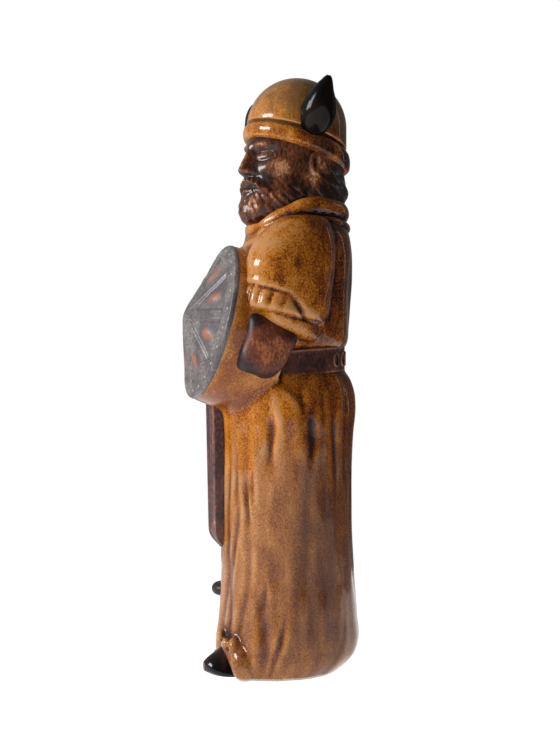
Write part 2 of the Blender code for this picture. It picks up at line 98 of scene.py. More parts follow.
# %% [markdown]
# ## Helpers for shaping
# Each soft form starts as a ball. Its points are then moved by a formula that takes two numbers, the angle round
# the form and the share of the way up it, as a potter would turn and push a lump of clay. A formula that needs
# to know its side as well takes that first, and partial fills it in.
# Angles count from the figure's front towards its left hand. Lengths are millimetres on a figure 280.2 mm tall.

# %% Helpers for shaping
def hump(value, width):
    """1 in the middle, near 0 past its width."""
    return np.exp(-((value / width) ** 2))


def window(value, low, high, soft):
    """Near 1 between low and high, fading over a soft stretch at both ends."""
    rise = 1 / (1 + np.exp(np.clip((low - value) / soft, -60, 60)))
    return rise / (1 + np.exp(np.clip((value - high) / soft, -60, 60)))


def through(stations, at):
    """Smooth curves through the stations, whose first entry is their place. One array for each further entry."""
    table = np.array(stations, float)
    place, values = table[:, 0], table[:, 1:]
    slopes = np.gradient(values, place, axis=0)
    at = np.clip(at, place[0], place[-1])
    high = np.clip(np.searchsorted(place, at), 1, len(place) - 1)
    low = high - 1
    span = (place[high] - place[low])[:, None]
    share = (at - place[low])[:, None] / span
    a = 2 * share**3 - 3 * share**2 + 1
    b = share**3 - 2 * share**2 + share
    c = share**3 - share**2
    made = a * values[low] + (1 - a) * values[high] + span * (b * slopes[low] + c * slopes[high])
    return made.T


def rising(stations, share):
    """The place at a share of the way through the stations, followed by what the stations give there."""
    place = stations[0][0] + (stations[-1][0] - stations[0][0]) * share
    return place, *through(stations, place)


def oval(angle, middle, half_width, half_depth, height):
    """A level oval round an upright line through the middle."""
    return middle[0] + half_width * sin(angle), middle[1] - half_depth * cos(angle), height


def rows(parts):
    """x, y and z as the rows of one table, each as long as the longest."""
    return np.stack(np.broadcast_arrays(*parts))


def read_points(piece):
    """The points' x, y and z in millimetres."""
    points = np.empty(len(piece.data.vertices) * 3)
    piece.data.vertices.foreach_get("co", points)
    return points.reshape(-1, 3).T / MM


def write_points(piece, points):
    piece.data.vertices.foreach_set("co", (points * MM).T.ravel())
    piece.data.update()


def pick(*pieces):
    """Selects these pieces alone, with the first as the active one."""
    bpy.ops.object.select_all(action="DESELECT")
    for piece in pieces:
        piece.select_set(True)
    bpy.context.view_layer.objects.active = pieces[0]


def edit(piece, operator, **settings):
    """Runs an operator of Edit Mode on the whole piece."""
    pick(piece)
    bpy.ops.object.mode_set(mode="EDIT")
    bpy.ops.mesh.select_all(action="SELECT")
    operator(**settings)
    bpy.ops.object.mode_set(mode="OBJECT")


def apply_modifier(piece, kind, **settings):
    pick(piece)
    modifier = piece.modifiers.new(kind.lower(), kind)
    for key, value in settings.items():
        setattr(modifier, key, value)
    bpy.ops.object.modifier_apply(modifier=modifier.name)


def mould(name, shape, segments, rings, splits=2):
    """Adds a ball, splits its faces, and moves each point to where shape(angle, share of the way up) puts it."""
    coarse = rings // 2**splits
    bpy.ops.mesh.primitive_uv_sphere_add(segments=segments // 2**splits, ring_count=coarse, radius=1)
    piece = bpy.context.active_object
    piece.name = name
    if splits:
        apply_modifier(piece, "SUBSURF", subdivision_type="SIMPLE", levels=splits, render_levels=splits)
    x, y, z = read_points(piece)
    row = np.arctan2(np.hypot(x, y), -z) / np.pi * coarse
    made = rows(shape(np.arctan2(x, -y), np.clip((row - 1) / (coarse - 2), 0, 1)))
    even = np.linspace(-np.pi, np.pi, segments, endpoint=False)
    for end, reach in ((0.0, row), (1.0, coarse - row)):  # the last row closes to a point at either end
        middle = rows(shape(even, np.full(segments, end))).mean(axis=1)[:, None]
        made = middle + (made - middle) * np.clip(reach, 0, 1)
    write_points(piece, made)
    return piece


def ring(name, shape, around, across):
    """Adds a torus and moves each point to where shape(angle round the ring, angle round the tube) puts it."""
    bpy.ops.mesh.primitive_torus_add(
        major_segments=around, minor_segments=across, major_radius=1, minor_radius=0.25
    )
    piece = bpy.context.active_object
    piece.name = name
    x, y, z = read_points(piece) * MM
    write_points(piece, rows(shape(np.arctan2(x, -y), np.arctan2(z, np.hypot(x, y) - 1))))
    return piece


def lump(name, centre, radii, turn=Matrix.Identity(3), segments=48, splits=1):
    """A ball stretched to three radii, turned and set in place."""
    def shape(angle, share):
        rise = np.pi * (share - 0.5) * 0.98
        ball = np.stack([cos(rise) * sin(angle), -cos(rise) * cos(angle), sin(rise)])
        turned = np.array(turn) @ (ball * np.array(radii)[:, None])
        return turned + np.array(centre)[:, None]
    return mould(name, shape, segments, segments // 2, splits)


# %% [markdown]
# ## Helpers for finishing
# A Voxel Remesh lays one even skin over all the forms that are joined, which closes the gaps between them.
# A few rounds of Smooth then act as the glaze does. Both are modifiers, applied as soon as they are set.

# %% Helpers for finishing
def join(name, pieces):
    pick(*pieces)
    bpy.ops.object.join()
    pieces[0].name = name
    pieces[0].data.name = name
    return pieces[0]


def outward(piece):
    """Turns all faces to look outward."""
    edit(piece, bpy.ops.mesh.normals_make_consistent, inside=False)


def melt(name, pieces, grain, rounds):
    """Joins the forms and lays one skin over them, with a spacing of grain."""
    for piece in pieces:
        outward(piece)
    piece = join(name, pieces)
    apply_modifier(piece, "REMESH", mode="VOXEL", voxel_size=grain * MM)
    apply_modifier(piece, "SMOOTH", factor=0.5, iterations=rounds)
    return piece


def cut_level(piece):
    """Cuts the piece flat where it meets the ground."""
    cut = dict(plane_co=(0, 0, 0), plane_no=(0, 0, -1), threshold=1e-7)
    edit(piece, bpy.ops.mesh.bisect, use_fill=True, clear_outer=True, **cut)


def store(piece, name, values):
    """Keeps a number at each point for the glaze to read."""
    piece.data.attributes.new(name, "FLOAT", "POINT").data.foreach_set("value", values)


def measure_relief(piece, name, passes, depth, calm=()):
    """Stores how far each point stands out of, or lies in, the evened surface: 1 at the given depth in mm.
    Calm gives the middle and reach of each stretch where the relief is faded out."""
    points = read_points(piece)
    edges = np.empty(len(piece.data.edges) * 2, int)
    piece.data.edges.foreach_get("vertices", edges)
    one, other = edges.reshape(-1, 2).T
    count = np.bincount(edges, minlength=points.shape[1])
    even = points.copy()
    for _ in range(passes):
        total = [np.bincount(one, row[other], len(row)) + np.bincount(other, row[one], len(row)) for row in even]
        even = 0.4 * even + 0.6 * np.array(total) / count
    normals = np.empty(points.size)
    piece.data.vertex_normals.foreach_get("vector", normals)
    relief = ((points - even) * normals.reshape(-1, 3).T).sum(axis=0) / depth
    relief[points[2] < 0.001] = 0  # the flat underside
    for middle, reach in calm:
        away = np.linalg.norm(points - np.array(middle)[:, None], axis=0)
        relief *= 1 - np.exp(-((away / reach) ** 4))
    store(piece, name, np.clip(relief, -1.5, 1.5))


def finish_piece(piece, material, fine=(10, 0.25), broad=(90, 1.2), crease=60, calm=()):
    """Stores both scales of relief, gives the piece its glaze and lets it ride on the figure.
    Fine and broad are each how many times the surface is evened, and the depth that counts as 1."""
    measure_relief(piece, "relief", *fine, calm)
    measure_relief(piece, "swell", *broad, calm)
    piece.data.materials.clear()
    piece.data.materials.append(material)
    pick(piece)
    bpy.ops.object.shade_smooth_by_angle(angle=math.radians(crease), keep_sharp_edges=False)
    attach(piece, "root")
    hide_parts(NODE)
    piece.data.calc_loop_triangles()
    print(piece.name, len(piece.data.loop_triangles), "triangles")


# %% [markdown]
# ## Writing a glaze as sums
# A glaze is a recipe of numbers that change over the surface. Wiring them by hand is hard to read, so a small
# class wraps an output socket: adding or multiplying it adds the Math node. One method adds every other node.

# %% A class for shader maths
class Wire:
    """An output socket that can be used in sums."""

    def __init__(self, recipe, socket):
        self.recipe = recipe
        self.socket = socket

    def _with(self, operation, first, second):
        return self.recipe.add("ShaderNodeMath", {"operation": operation}, {0: first, 1: second})

    def __add__(self, other):
        return self._with("ADD", self, other)

    __radd__ = __add__

    def __sub__(self, other):
        return self._with("SUBTRACT", self, other)

    def __rsub__(self, other):
        return self._with("SUBTRACT", other, self)

    def __mul__(self, other):
        return self._with("MULTIPLY", self, other)

    __rmul__ = __mul__


class Nodes:
    """A node tree, with one method that adds any node."""

    def __init__(self, owner):
        owner.use_nodes = True
        self.tree = owner.node_tree

    def add(self, kind, settings, inputs, output=0):
        node = self.tree.nodes.new(kind)
        for key, value in settings.items():
            setattr(node, key, value)
        for key, value in inputs.items():
            self.feed(node.inputs[key], value)
        return Wire(self, node.outputs[output])

    def feed(self, socket, value):
        if isinstance(value, Wire):
            self.tree.links.new(value.socket, socket)
        else:
            socket.default_value = value


class Recipe(Nodes):
    """A glaze: what it is mixed from, and what it is poured into."""

    def __init__(self, name):
        self.material = bpy.data.materials.new(name)
        super().__init__(self.material)
        self.shader = self.tree.nodes["Principled BSDF"]
        self.place = self.add("ShaderNodeTexCoord", {}, {}, "Object")

    def across(self, axis):
        """The place along an axis, in millimetres."""
        return self.add("ShaderNodeSeparateXYZ", {}, {"Vector": self.place}, axis) * (1 / MM)

    def stored(self, name):
        return self.add("ShaderNodeAttribute", {"attribute_name": name}, {}, "Fac")

    def noise(self, size, detail=3.0, upright=1.0, shift=0.0, warp=0.0):
        """Clouds of about the given size in mm, drawn out upward where upright is less than 1."""
        placing = {"Vector": self.place, "Location": (shift, shift, shift), "Scale": (1, 1, upright)}
        moved = self.add("ShaderNodeMapping", {}, placing)
        inputs = {"Vector": moved, "Scale": 1 / (size * MM), "Detail": detail, "Distortion": warp}
        return self.add("ShaderNodeTexNoise", {}, inputs, "Fac")

    def ramp(self, value, low, high):
        """0 below low, 1 above high, smooth between."""
        inputs = {"Value": value, "From Min": low, "From Max": high}
        return self.add("ShaderNodeMapRange", {"interpolation_type": "SMOOTHSTEP"}, inputs)

    def steps(self, value, first, *stops):
        """Colours that follow each other: each stop is where it starts, where it is reached, and its colour."""
        colour = first
        for low, high, following in stops:
            colour = self.blend(self.ramp(value, low, high), colour, following)
        return colour

    def blend(self, share, *colours):
        """From the first colour, where share is 0, to the second, where it is 1."""
        first, second = [each if isinstance(each, Wire) else (*each, 1.0) for each in colours]
        return self.add("ShaderNodeMix", {"data_type": "RGBA"}, {0: share, 6: first, 7: second}, 2)

    def bump(self, height, distance, strength=1.0, under=None):
        inputs = {"Height": height, "Distance": distance * MM, "Strength": strength}
        if under is not None:
            inputs["Normal"] = under
        return self.add("ShaderNodeBump", {}, inputs)

    def pour(self, **sockets):
        for name, value in sockets.items():
            self.feed(self.shader.inputs[name.replace("_", " ")], value)
        return self.material


# %% [markdown]
# ## The amber glaze
# It is a runny, see-through honey glaze over brown clay. Where it is thin it shows tan, at its usual depth amber,
# in hollows nearly black. It lies thin on the lowest third, down to which it ran in ragged drips; that paler tan
# low down, and patches of it on the lower coat, are also a painted reflection of the pale table. The back is
# darker, partly thicker glaze and partly painted shade, and the helmet's crown has a painted greyish sheen. Iron
# specks no bigger than a pinprick pepper it. The glass on top is smooth, but it ripples a little as it flows down,
# which makes the reflections wander. A line of bare clay is left at the foot.

# %% Amber glaze
def amber_glaze():
    glaze = Recipe("amber_glaze")
    relief, swell = glaze.stored("relief"), glaze.stored("swell")
    clouds = glaze.noise(16, 4, 0.40, 0.02, 0.7)
    runs = glaze.noise(5, 4, 0.14, 0.07, 0.4)
    specks = glaze.noise(0.75, 2, 1, 0.11)
    height = glaze.across(2)
    backward = glaze.across(1) + 14 * (clouds - 0.5)
    # 0 on the front, 1 on the back. The back it darkens is partly thicker glaze and partly painted shade, on the
    # side away from the window.
    side = glaze.ramp(backward, -18, 16)
    upper = glaze.ramp(height, 140, 156)
    patches = glaze.noise(6.5, 3, 0.7, 0.43, 0.5) - 0.5
    peppered = 1.15 + 0.35 * glaze.ramp(height, 90, 150)
    # How deep the glaze lies: first its clouds and specks, then more of it on the back, collar, helmet and wall.
    # The upper body is made a little lighter in front and darker at the back, as painted light and shade.
    depth = (0.37 + 0.17 * upper) * side + 0.85 * (clouds - 0.5) + 0.62 * (runs - 0.5) + peppered * (specks - 0.5)
    depth = depth + 0.22 * glaze.ramp(height, 100, 30) * (1.0 - side) - 0.09 * upper
    depth = depth + 0.15 * glaze.ramp(height, 198, 208) + 0.07 * glaze.ramp(height, 220, 232)
    depth = depth + (0.4 + 0.6 * upper + 0.5 * glaze.ramp(height, 228, 240)) * patches
    wall = glaze.ramp(glaze.across(1), -24, -30) * glaze.ramp(height, 116, 128)
    depth = 0.34 + depth + 0.16 * wall - 0.19 * swell - 0.44 * relief
    colour = glaze.steps(
        depth,
        (0.50, 0.235, 0.085),
        (-0.05, 0.22, (0.48, 0.158, 0.009)),
        (0.18, 0.56, (0.22, 0.054, 0.007)),
        (0.48, 0.88, (0.075, 0.015, 0.004)),
        (0.80, 1.14, (0.008, 0.003, 0.003)),
    )
    # Painted reflection of the pale table: in patches below about 118 mm the coat turns to the paler tan, more on
    # the front.
    painted_table_reflection = glaze.ramp(glaze.noise(13, 3, 0.35, 0.53, 0.6), 0.46, 0.66) * glaze.ramp(height, 128, 108)
    tan = glaze.steps(
        depth,
        (0.42, 0.220, 0.095),
        (-0.10, 0.35, (0.31, 0.125, 0.040)),
        (0.25, 0.80, (0.155, 0.048, 0.016)),
        (0.75, 1.15, (0.030, 0.009, 0.004)),
    )
    # The lowest third turns to the paler tan, partly as thin glaze that ran down in drips and partly as a painted
    # reflection of the pale table.
    drips = glaze.noise(7.5, 3, 0.09, 0.61, 0.3) - 0.5
    thin_glaze_and_table_reflection = 0.65 * glaze.ramp(height + 95 * drips + 16 * (clouds - 0.5), 101, 90)
    colour = glaze.blend(thin_glaze_and_table_reflection + painted_table_reflection * (0.55 - 0.25 * side) * (1.0 - thin_glaze_and_table_reflection), colour, tan)
    # A painted sheen: the helmet's crown is blended towards a greyish tan, as a painted soft reflection of the
    # pale room.
    painted_crown_sheen = glaze.ramp(height + 44 * (clouds - 0.5) + 26 * patches, 246, 264)
    colour = glaze.blend(painted_crown_sheen * 0.45, colour, (0.31, 0.170, 0.055))
    colour = glaze.blend(wall * glaze.ramp(depth, -0.1, 0.3) * 0.45, colour, (0.26, 0.068, 0.014))
    worn = glaze.ramp(relief + 0.5 * (specks - 0.5), 0.75, 1.4)
    colour = glaze.blend(worn * 0.45, colour, (0.50, 0.29, 0.14))
    hollow = glaze.ramp(0.0 - relief, 0.30, 0.90)
    foot = glaze.ramp(height + 1.2 * (specks - 0.5), 1.3, 0.9)
    colour = glaze.blend(foot, colour, (0.52, 0.44, 0.35))
    ripple = glaze.bump(glaze.noise(8, 3, 0.5, 0.31), 0.60, 0.5)
    return glaze.pour(
        Base_Color=colour,
        Roughness=0.16 + 0.10 * glaze.ramp(clouds, 0.4, 0.7) + 0.30 * hollow,
        Coat_Weight=0.33 * (1.0 - foot) * (1.0 - 0.85 * hollow),
        Normal=glaze.bump(glaze.noise(1.3, 2), 0.04, 0.3, ripple),
        Coat_Roughness=0.03,
        Specular_IOR_Level=0.22,
    )


AMBER = amber_glaze()
print("made", AMBER.name)

# %% [markdown]
# ## The dark glazes
# Belt, gloves, sword, hair and face are brushed with a brown-black glaze, then wiped while wet. It stays in the
# hollows and comes off what stands proud, where the clay's red and tan show. One recipe with other colours
# serves them all. The horns and the toes of the boots are plain black glass, and the shield's face has a dry
# slate-grey glaze with a grain like fine sandpaper.

# %% Dark glazes
def wiped_glaze(name, dark, red, tan, bare, proud, gloss, coat, behind):
    """A dark glaze wiped off where it was rubbed and off what stands proud. A higher bare shows more of the clay,
    and a higher behind leaves it darker at the back."""
    glaze = Recipe(name)
    relief, swell, rubbed = glaze.stored("relief"), glaze.stored("swell"), glaze.stored("rubbed")
    clouds = glaze.noise(8, 4, 0.7, 0.05, 0.8)
    brush = glaze.noise(0.9, 3, 0.5, 0.17, 0.5)
    height = proud * (1.5 * swell + relief) + 0.95 * rubbed + 1.2 * (clouds - 0.5) + 1.5 * (brush - 0.5) + bare
    height = height - behind * glaze.ramp(glaze.across(1), 2, 20)
    return glaze.pour(
        Base_Color=glaze.steps(height, dark, (-0.10, 0.45, red), (0.45, 1.05, tan)),
        Roughness=gloss + 0.22 * glaze.ramp(height, 0.1, 0.7),
        Coat_Weight=coat,
        Normal=glaze.bump(brush, 0.10, 0.6, glaze.bump(clouds, 0.25, 0.4)),
        Coat_Roughness=0.08,
        Specular_IOR_Level=0.3,
    )


def black_glass(name, brown, coat):
    """Black glass that thins to a brown in places, under a clear coat."""
    glaze = Recipe(name)
    clouds = glaze.noise(9, 3, 0.6)
    colour = glaze.blend(glaze.ramp(clouds, 0.42, 0.68), (0.0025, 0.0020, 0.0025), brown)
    return glaze.pour(
        Base_Color=colour,
        Roughness=0.26 + 0.05 * clouds,
        Coat_Weight=coat,
        Normal=glaze.bump(glaze.noise(7, 2, 0.5, 0.3), 0.25, 0.35),
        Coat_Roughness=0.09,
        Specular_IOR_Level=0.02,
    )


def slate_glaze():
    """Dry and grey, darker in the hollows, pale on the raised edges, partly worn and partly a painted glint, and
    red where the bosses were rubbed.
    """
    glaze = Recipe("slate_glaze")
    relief, rubbed = glaze.stored("relief"), glaze.stored("rubbed")
    clouds = glaze.noise(11, 4, 1, 0.09, 0.5)
    sand = glaze.noise(1.05, 3, 1, 0.4)
    colour = glaze.blend(glaze.ramp(clouds, 0.38, 0.62), (0.098, 0.078, 0.088), (0.205, 0.182, 0.170))
    colour = glaze.blend(glaze.ramp(sand, 0.42, 0.64) * 0.75, colour, (0.045, 0.034, 0.038))
    colour = glaze.blend(glaze.ramp(0.0 - relief, 0.2, 0.9) * 0.8, colour, (0.030, 0.022, 0.022))
    # Pale on the raised edges: partly worn glaze, partly a painted glint along the rim.
    colour = glaze.blend(glaze.ramp(relief, 0.3, 1.0) * 0.75, colour, (0.40, 0.37, 0.35))
    patch = glaze.ramp(rubbed + 1.3 * (sand - 0.5) + 0.8 * (clouds - 0.5), 0.30, 0.80)
    colour = glaze.blend(patch * 0.8, colour, (0.36, 0.115, 0.060))
    return glaze.pour(
        Base_Color=colour,
        Roughness=0.36 + 0.12 * clouds,
        Coat_Weight=0.35,
        Normal=glaze.bump(sand, 0.22, 0.8, glaze.bump(clouds, 0.3, 0.3)),
        Coat_Roughness=0.16,
    )


# Name, its dark, red and tan, then bare, proud, gloss and coat
WIPED = [
    ("face", (0.022, 0.009, 0.006), (0.135, 0.038, 0.014), (0.52, 0.25, 0.11), 0.10, 0.32, 0.24, 0.16),
    ("leather", (0.016, 0.009, 0.012), (0.13, 0.030, 0.013), (0.40, 0.125, 0.045), -0.34, -0.1, 0.44, 0.04),
    ("belt", (0.014, 0.009, 0.010), (0.080, 0.022, 0.014), (0.30, 0.12, 0.07), -0.04, 0.35, 0.3, 0.1),
    ("iron", (0.060, 0.030, 0.033), (0.15, 0.062, 0.050), (0.48, 0.20, 0.11), 0.0, 0.38, 0.26, 0.12),
]
SKIN, LEATHER, BELT, IRON = [
    wiped_glaze(f"wiped_{name}_glaze", *rest, behind=0.35 * (name == "face")) for name, *rest in WIPED
]
BLACK = black_glass("black_glass", (0.010, 0.005, 0.003), 0.26)
TOE_GLASS = black_glass("toe_glass", (0.045, 0.017, 0.008), 0.60)
SLATE = slate_glaze()
print("made", [made.name for made in (SKIN, LEATHER, BELT, IRON, BLACK, TOE_GLASS, SLATE)])

# %% [markdown]
# ## The coat
# The long coat hangs from the belt to the ground. Its cloth was modelled as shallow upright folds, with short
# slots pressed between them under the belt, where the glaze later ran in and turned black. The folds stand
# closest on the left side, which the photograph shows.

# %% The coat's cloth
GROUND = -3.0  # the forms run on below the ground, where they are cut off
COAT = [
    (GROUND, 27, -31, 21),
    (0, 29.4, -32.5, 24.2),
    (3, 31.6, -33.6, 28),
    (7, 33.8, -34.4, 31.8),
    (13, 35.2, -34.6, 34),
    (25, 35, -33.2, 33.4),
    (45, 33.8, -31.8, 31.6),
    (80, 33.2, -31.2, 30.5),
    (110, 33.6, -31.5, 31.3),
    (123, 33.8, -32, 32.6),
    (131, 32.6, -30.8, 32),
    (137, 30.4, -28.8, 29.9),
    (141, 28.2, -26.8, 27.2),
    (150, 27.6, -26, 25.8),
]
# Short slots: angle, lower and upper end, half width in degrees, depth
SLOTS = [
    (24.5, 83, 92, 2.4, 1.2),
    (36, 71, 90, 2.8, 1.8),
    (42, 82, 92, 2.6, 1.5),
    (54, 34, 42, 3.4, 1.8),
    (58.5, 98, 121, 3.8, 1.9),
    (91.5, 101, 120, 4.2, 1.9),
    (-36, 96, 118, 3, 1.6),
    (-72, 98, 122, 3, 1.7),
    (-104, 88, 112, 3, 1.5),
    (-150, 96, 122, 3, 1.5),
    (178, 92, 124, 3.2, 1.5),
    (152, 100, 124, 3, 1.4),
]
# Long folds' hollows: angle at the top and at the foot, lower and upper end, half width in degrees, depth
HOLLOWS = [
    (13, 11, 14, 120, 3.6, 1.1),
    (25, 19, 20, 80, 3.4, 1),
    (37, 33, 18, 62, 3.8, 0.9),
    (50, 56, 3, 36, 5, 1),
    (68, 66, 3, 27, 2.6, 1.3),
    (112, 118, 88, 120, 3, 1.3),
    (126, 131, 92, 128, 3.2, 1.2),
    (121, 117, 6, 30, 3, 0.8),
    (100, 103, 112, 132, 3, 0.9),
    (82, 84, 112, 130, 3, 0.8),
    (-40, -34, 14, 90, 3.8, 1.1),
    (-62, -60, 3, 60, 4, 1),
    (-88, -92, 10, 92, 4, 1),
    (-112, -116, 70, 124, 3.5, 1.1),
    (-140, -134, 8, 70, 4, 0.9),
    (-165, -168, 40, 118, 3.6, 1),
    (164, 166, 10, 84, 4, 0.9),
    (143, 146, 40, 100, 3.6, 0.8),
]
LAP_ANGLE = 86.0  # the coat's front half laps over the back half along this line
LAP_STEP = 1.5
HEM_FLARE = 2.6
FOLDS = 15


def turned_off(angle, middle):
    """How many degrees the angle lies from the middle, the short way round."""
    return (angle - middle + 180) % 360 - 180


def drapery(around, height):
    """How far the cloth stands out. The tables above give their angles in degrees."""
    angle = np.degrees(around)
    sway = 0.05 * sin(height / 19 + 2 * around) + 0.03 * sin(height / 8 + 5 * around)
    soft = cos(FOLDS * (around + sway)) + 0.5 * cos((FOLDS + 8) * (around - sway) + 1.3)
    relief = 0.20 * soft * (0.5 + 0.9 * window(height, 92, 130, 5) + 0.5 * window(height, -9, 34, 9))
    for middle, low, high, width, depth in SLOTS:
        wavy = middle + 0.9 * sin(height / 4.6 + middle)
        uneven = width * (1 + 0.25 * sin(height / 3.1 + middle))
        relief -= depth * hump(turned_off(angle, wavy), uneven) * window(height, low, high, 2.2)
        relief += 0.4 * depth * hump(turned_off(angle, wavy), 2.6 * width) * window(height, low, high, 3)
    for top, foot, low, high, width, depth in HOLLOWS:
        wander = 0.8 + 1.9 * window(height, -20, 76, 8)
        middle = foot + (top - foot) * (height - low) / (high - low) + wander * sin(height / 10 + top / 4)
        groove = hump(turned_off(angle, middle), width) - 0.45 * hump(turned_off(angle, middle), 2.4 * width)
        fade = 0.85 + 0.25 * sin(height / 6.5 + 2 * top) + 0.55 * window(middle, 8, 72, 4) * (height < 95)
        relief -= 0.85 * fade * depth * groove * window(height, low, high, 4)
    # The front half's edge, the hem's flare over the left boot, and the slit in front where the right boot shows
    lap = LAP_ANGLE - 28 * window(height, 131, 160, 3.5) + 1.2 * sin(height / 13)
    raised = window(angle, lap - 90, lap, 1.5) * hump(angle - lap, 30)
    relief += LAP_STEP * raised * (0.45 + 0.55 * window(height, 88, 160, 8)) * window(height, 8, 136, 3)
    relief += HEM_FLARE * hump(angle - 47, 24) * window(height, -20, 9, 3)
    slit = 13.0 * window(height, -20, 44, 4)
    relief -= 4.5 * window(angle, -17 - slit, -17 + slit * 0.7, 1.4) * window(height, -20, 46, 3)
    return relief * window(height, -20, 137, 2.0)


def body(stations, angle, share, cloth):
    """A body on stations of height, half width, front and back, whose cloth(angle, height) stands out of it."""
    height, half_width, front, back = rising(stations, share)
    out = cloth(angle, height)
    return oval(angle, (0, (front + back) / 2), half_width + out, (back - front) / 2 + out, height)


def coat_shape(angle, share):
    return body(COAT, angle, share, drapery)


coat = mould("coat", coat_shape, 448, 288)
print("coat folds:", len(SLOTS), "slots and", len(HOLLOWS), "hollows")

# %% [markdown]
# ## The tunic and its collar
# Above the belt the tunic blouses out, narrows to the neck, and ends in a thick rolled collar that is lower in
# front and rides up over the shoulders. Under the roll runs a second, thinner crease of cloth.

# %% Tunic and collar
TUNIC = [
    (139, 26.5, -25.6, 25),
    (150.2, 27, -24.2, 25.4),
    (152.6, 29.2, -24, 27.7),
    (155, 30.3, -23.6, 28.5),
    (161, 31, -23, 28.9),
    (172, 31.4, -22, 29.4),
    (186, 32.4, -21, 30.2),
    (198, 33, -20, 30),
    (206, 30.5, -19, 28.6),
    (212, 24, -16, 26),
    (217, 16, -12, 21),
]
NECK_MIDDLE = 4.8
COLLAR_WIDTH, COLLAR_DEPTH = 22.4, 21.2
COLLAR_TUBE = (3.7, 4.4)  # how thick and how tall the roll is, from its middle
CREASE_DROP = 7.4


def creases(angle, height):
    """Long soft ones on the chest, and short ones where the tunic is gathered by the belt."""
    crease = 0.5 * cos(11 * angle + 0.9 * sin(height / 9)) * window(height, 156, 190, 5)
    return crease + 0.12 * cos(24 * angle + 2 * sin(3 * angle)) * window(height, 148, 157, 1.2)


def tunic_shape(angle, share):
    return body(TUNIC, angle, share, creases)


def collar_line(angle):
    side = np.degrees(np.abs(angle))
    return 210.2 - 5.2 * cos(angle) + 3.9 * sin(angle) ** 2 + 2.4 * window(side, -60, 118, 12)


def collar_shape(angle, tube):
    bulge = 1 + 0.07 * sin(5 * angle + 0.6) + 0.04 * sin(11 * angle)
    out = COLLAR_TUBE[0] * bulge * cos(tube)
    height = collar_line(angle) + COLLAR_TUBE[1] * bulge * sin(tube) - 0.10 * out
    return oval(angle, (0, NECK_MIDDLE), COLLAR_WIDTH + out, COLLAR_DEPTH + out, height)


def crease_shape(angle, tube):
    out = 3.4 * cos(tube)
    height = collar_line(angle) - CREASE_DROP + 2.8 * sin(tube)
    return oval(angle, (0, NECK_MIDDLE), COLLAR_WIDTH + 1.6 + out, COLLAR_DEPTH + 1.0 + out, height)


tunic = mould("tunic", tunic_shape, 240, 130)
collar = ring("collar", collar_shape, 200, 40)
collar_crease = ring("collar_crease", crease_shape, 200, 32)
print("tunic, collar and crease modelled")

# %% [markdown]
# ## The sleeves
# Each wide sleeve hangs from the shoulder like a bell and is gathered by a band above the elbow, with a pleated
# ruffle in front below the band. The left one is shaped by a row of rings that slope down to the back. The right
# one is the same with its sign changed, and its shoulder is held back behind the shield.

# %% Sleeves
# Place on the sleeve, height, slope back, out, forward, half width, half depth
SLEEVE = [
    (0, 212, 0, 24.5, 2, 2.5, 4),
    (1, 210, 0, 26.5, -0.5, 8.5, 11),
    (2, 204, 0, 28, -3.5, 12.6, 16),
    (3, 196, -0.04, 29.2, -6.1, 14, 19.3),
    (4, 188, -0.09, 29.9, -7.6, 14.5, 20.8),
    (5, 180.2, -0.20, 30.2, -8.2, 14.7, 20.2),
    (5.8, 174.4, -0.29, 30.2, -8.9, 14.8, 19.5),
    (6.2, 172, -0.30, 30.2, -9.5, 14.7, 19.4),
    (6.8, 168.6, -0.24, 30.2, -10.9, 14.9, 19.4),
    (7.2, 166.2, -0.20, 30.1, -11.5, 14.8, 18.8),
    (7.5, 164.4, -0.20, 30.1, -11.2, 13.2, 16.8),
    (8, 162.4, -0.26, 29.9, -10, 13, 15.6),
    (8.7, 159.2, -0.31, 29.5, -9.2, 12.6, 14.2),
    (9.4, 157, -0.34, 29, -9, 10.2, 11),
    (10, 156.6, -0.34, 28.5, -9, 6, 6.5),
]
BAND_PLACE = 6.0
RUFFLE_PLACES = (6.15, 7.2)
RUFFLE_PLEATS = 20
HELD_BACK = 8.5
SIDES = {"left": 1, "right": -1}


def sleeve_shape(side, angle, share):
    place, height, slope, out, forward, half_width, half_depth = rising(SLEEVE, share)
    degrees = np.degrees(angle)
    front = window(degrees, -60, 72, 7)
    swell = (0.5 * hump(place - 5.75, 0.35) - 1.6 * hump(place - BAND_PLACE, 0.13)) * front
    pleats = np.abs(cos(RUFFLE_PLEATS / 2 * angle + 0.9)) ** 0.6 - 0.7
    swell = swell + 1.7 * pleats * window(place, *RUFFLE_PLACES, 0.10) * front
    swell = swell + 0.5 * cos(4 * angle + 0.8 * place) * window(place, 2.5, 5.4, 0.4)
    # Behind the elbow the cloth is pulled in and hangs over in a fold
    swell = swell - 2.4 * hump(degrees - 102 - 22 * (place - 6.9), 6.5) * window(place, 6.3, 7.5, 0.15)
    swell = swell + 1.2 * hump(degrees - 126, 14) * window(place, 5.6, 7.4, 0.3)
    swell = swell - 0.9 * hump(place - 7.55, 0.18)
    x, y, height = oval(angle, (out, forward), half_width + swell, half_depth + swell, height)
    if side < 0:
        y = y + HELD_BACK * window(place, -1, 2.6, 0.35)
    return side * x, y, height + slope * (y - forward)


sleeves = [mould(f"sleeve_{side}", partial(sleeve_shape, side), 256, 192) for side in SIDES.values()]
print(len(sleeves), "sleeves")

# %% [markdown]
# ## The shield's wall and the hem
# The shield was cast with the body: behind its face a thick round wall runs back into the tunic and the coat.
# It is a plain cylinder, leaning back, and the melting step rounds its seams. At the hem the coat parts over
# the left boot in a folded lip with two small curls above.

# %% Shield wall and hem
SHIELD_CENTRE = Vector((0.0, -37.8, 163.5))
SHIELD_RADIUS = 37.0
SHIELD_LEAN = math.radians(13.5)
WALL_DEPTH = 30.0

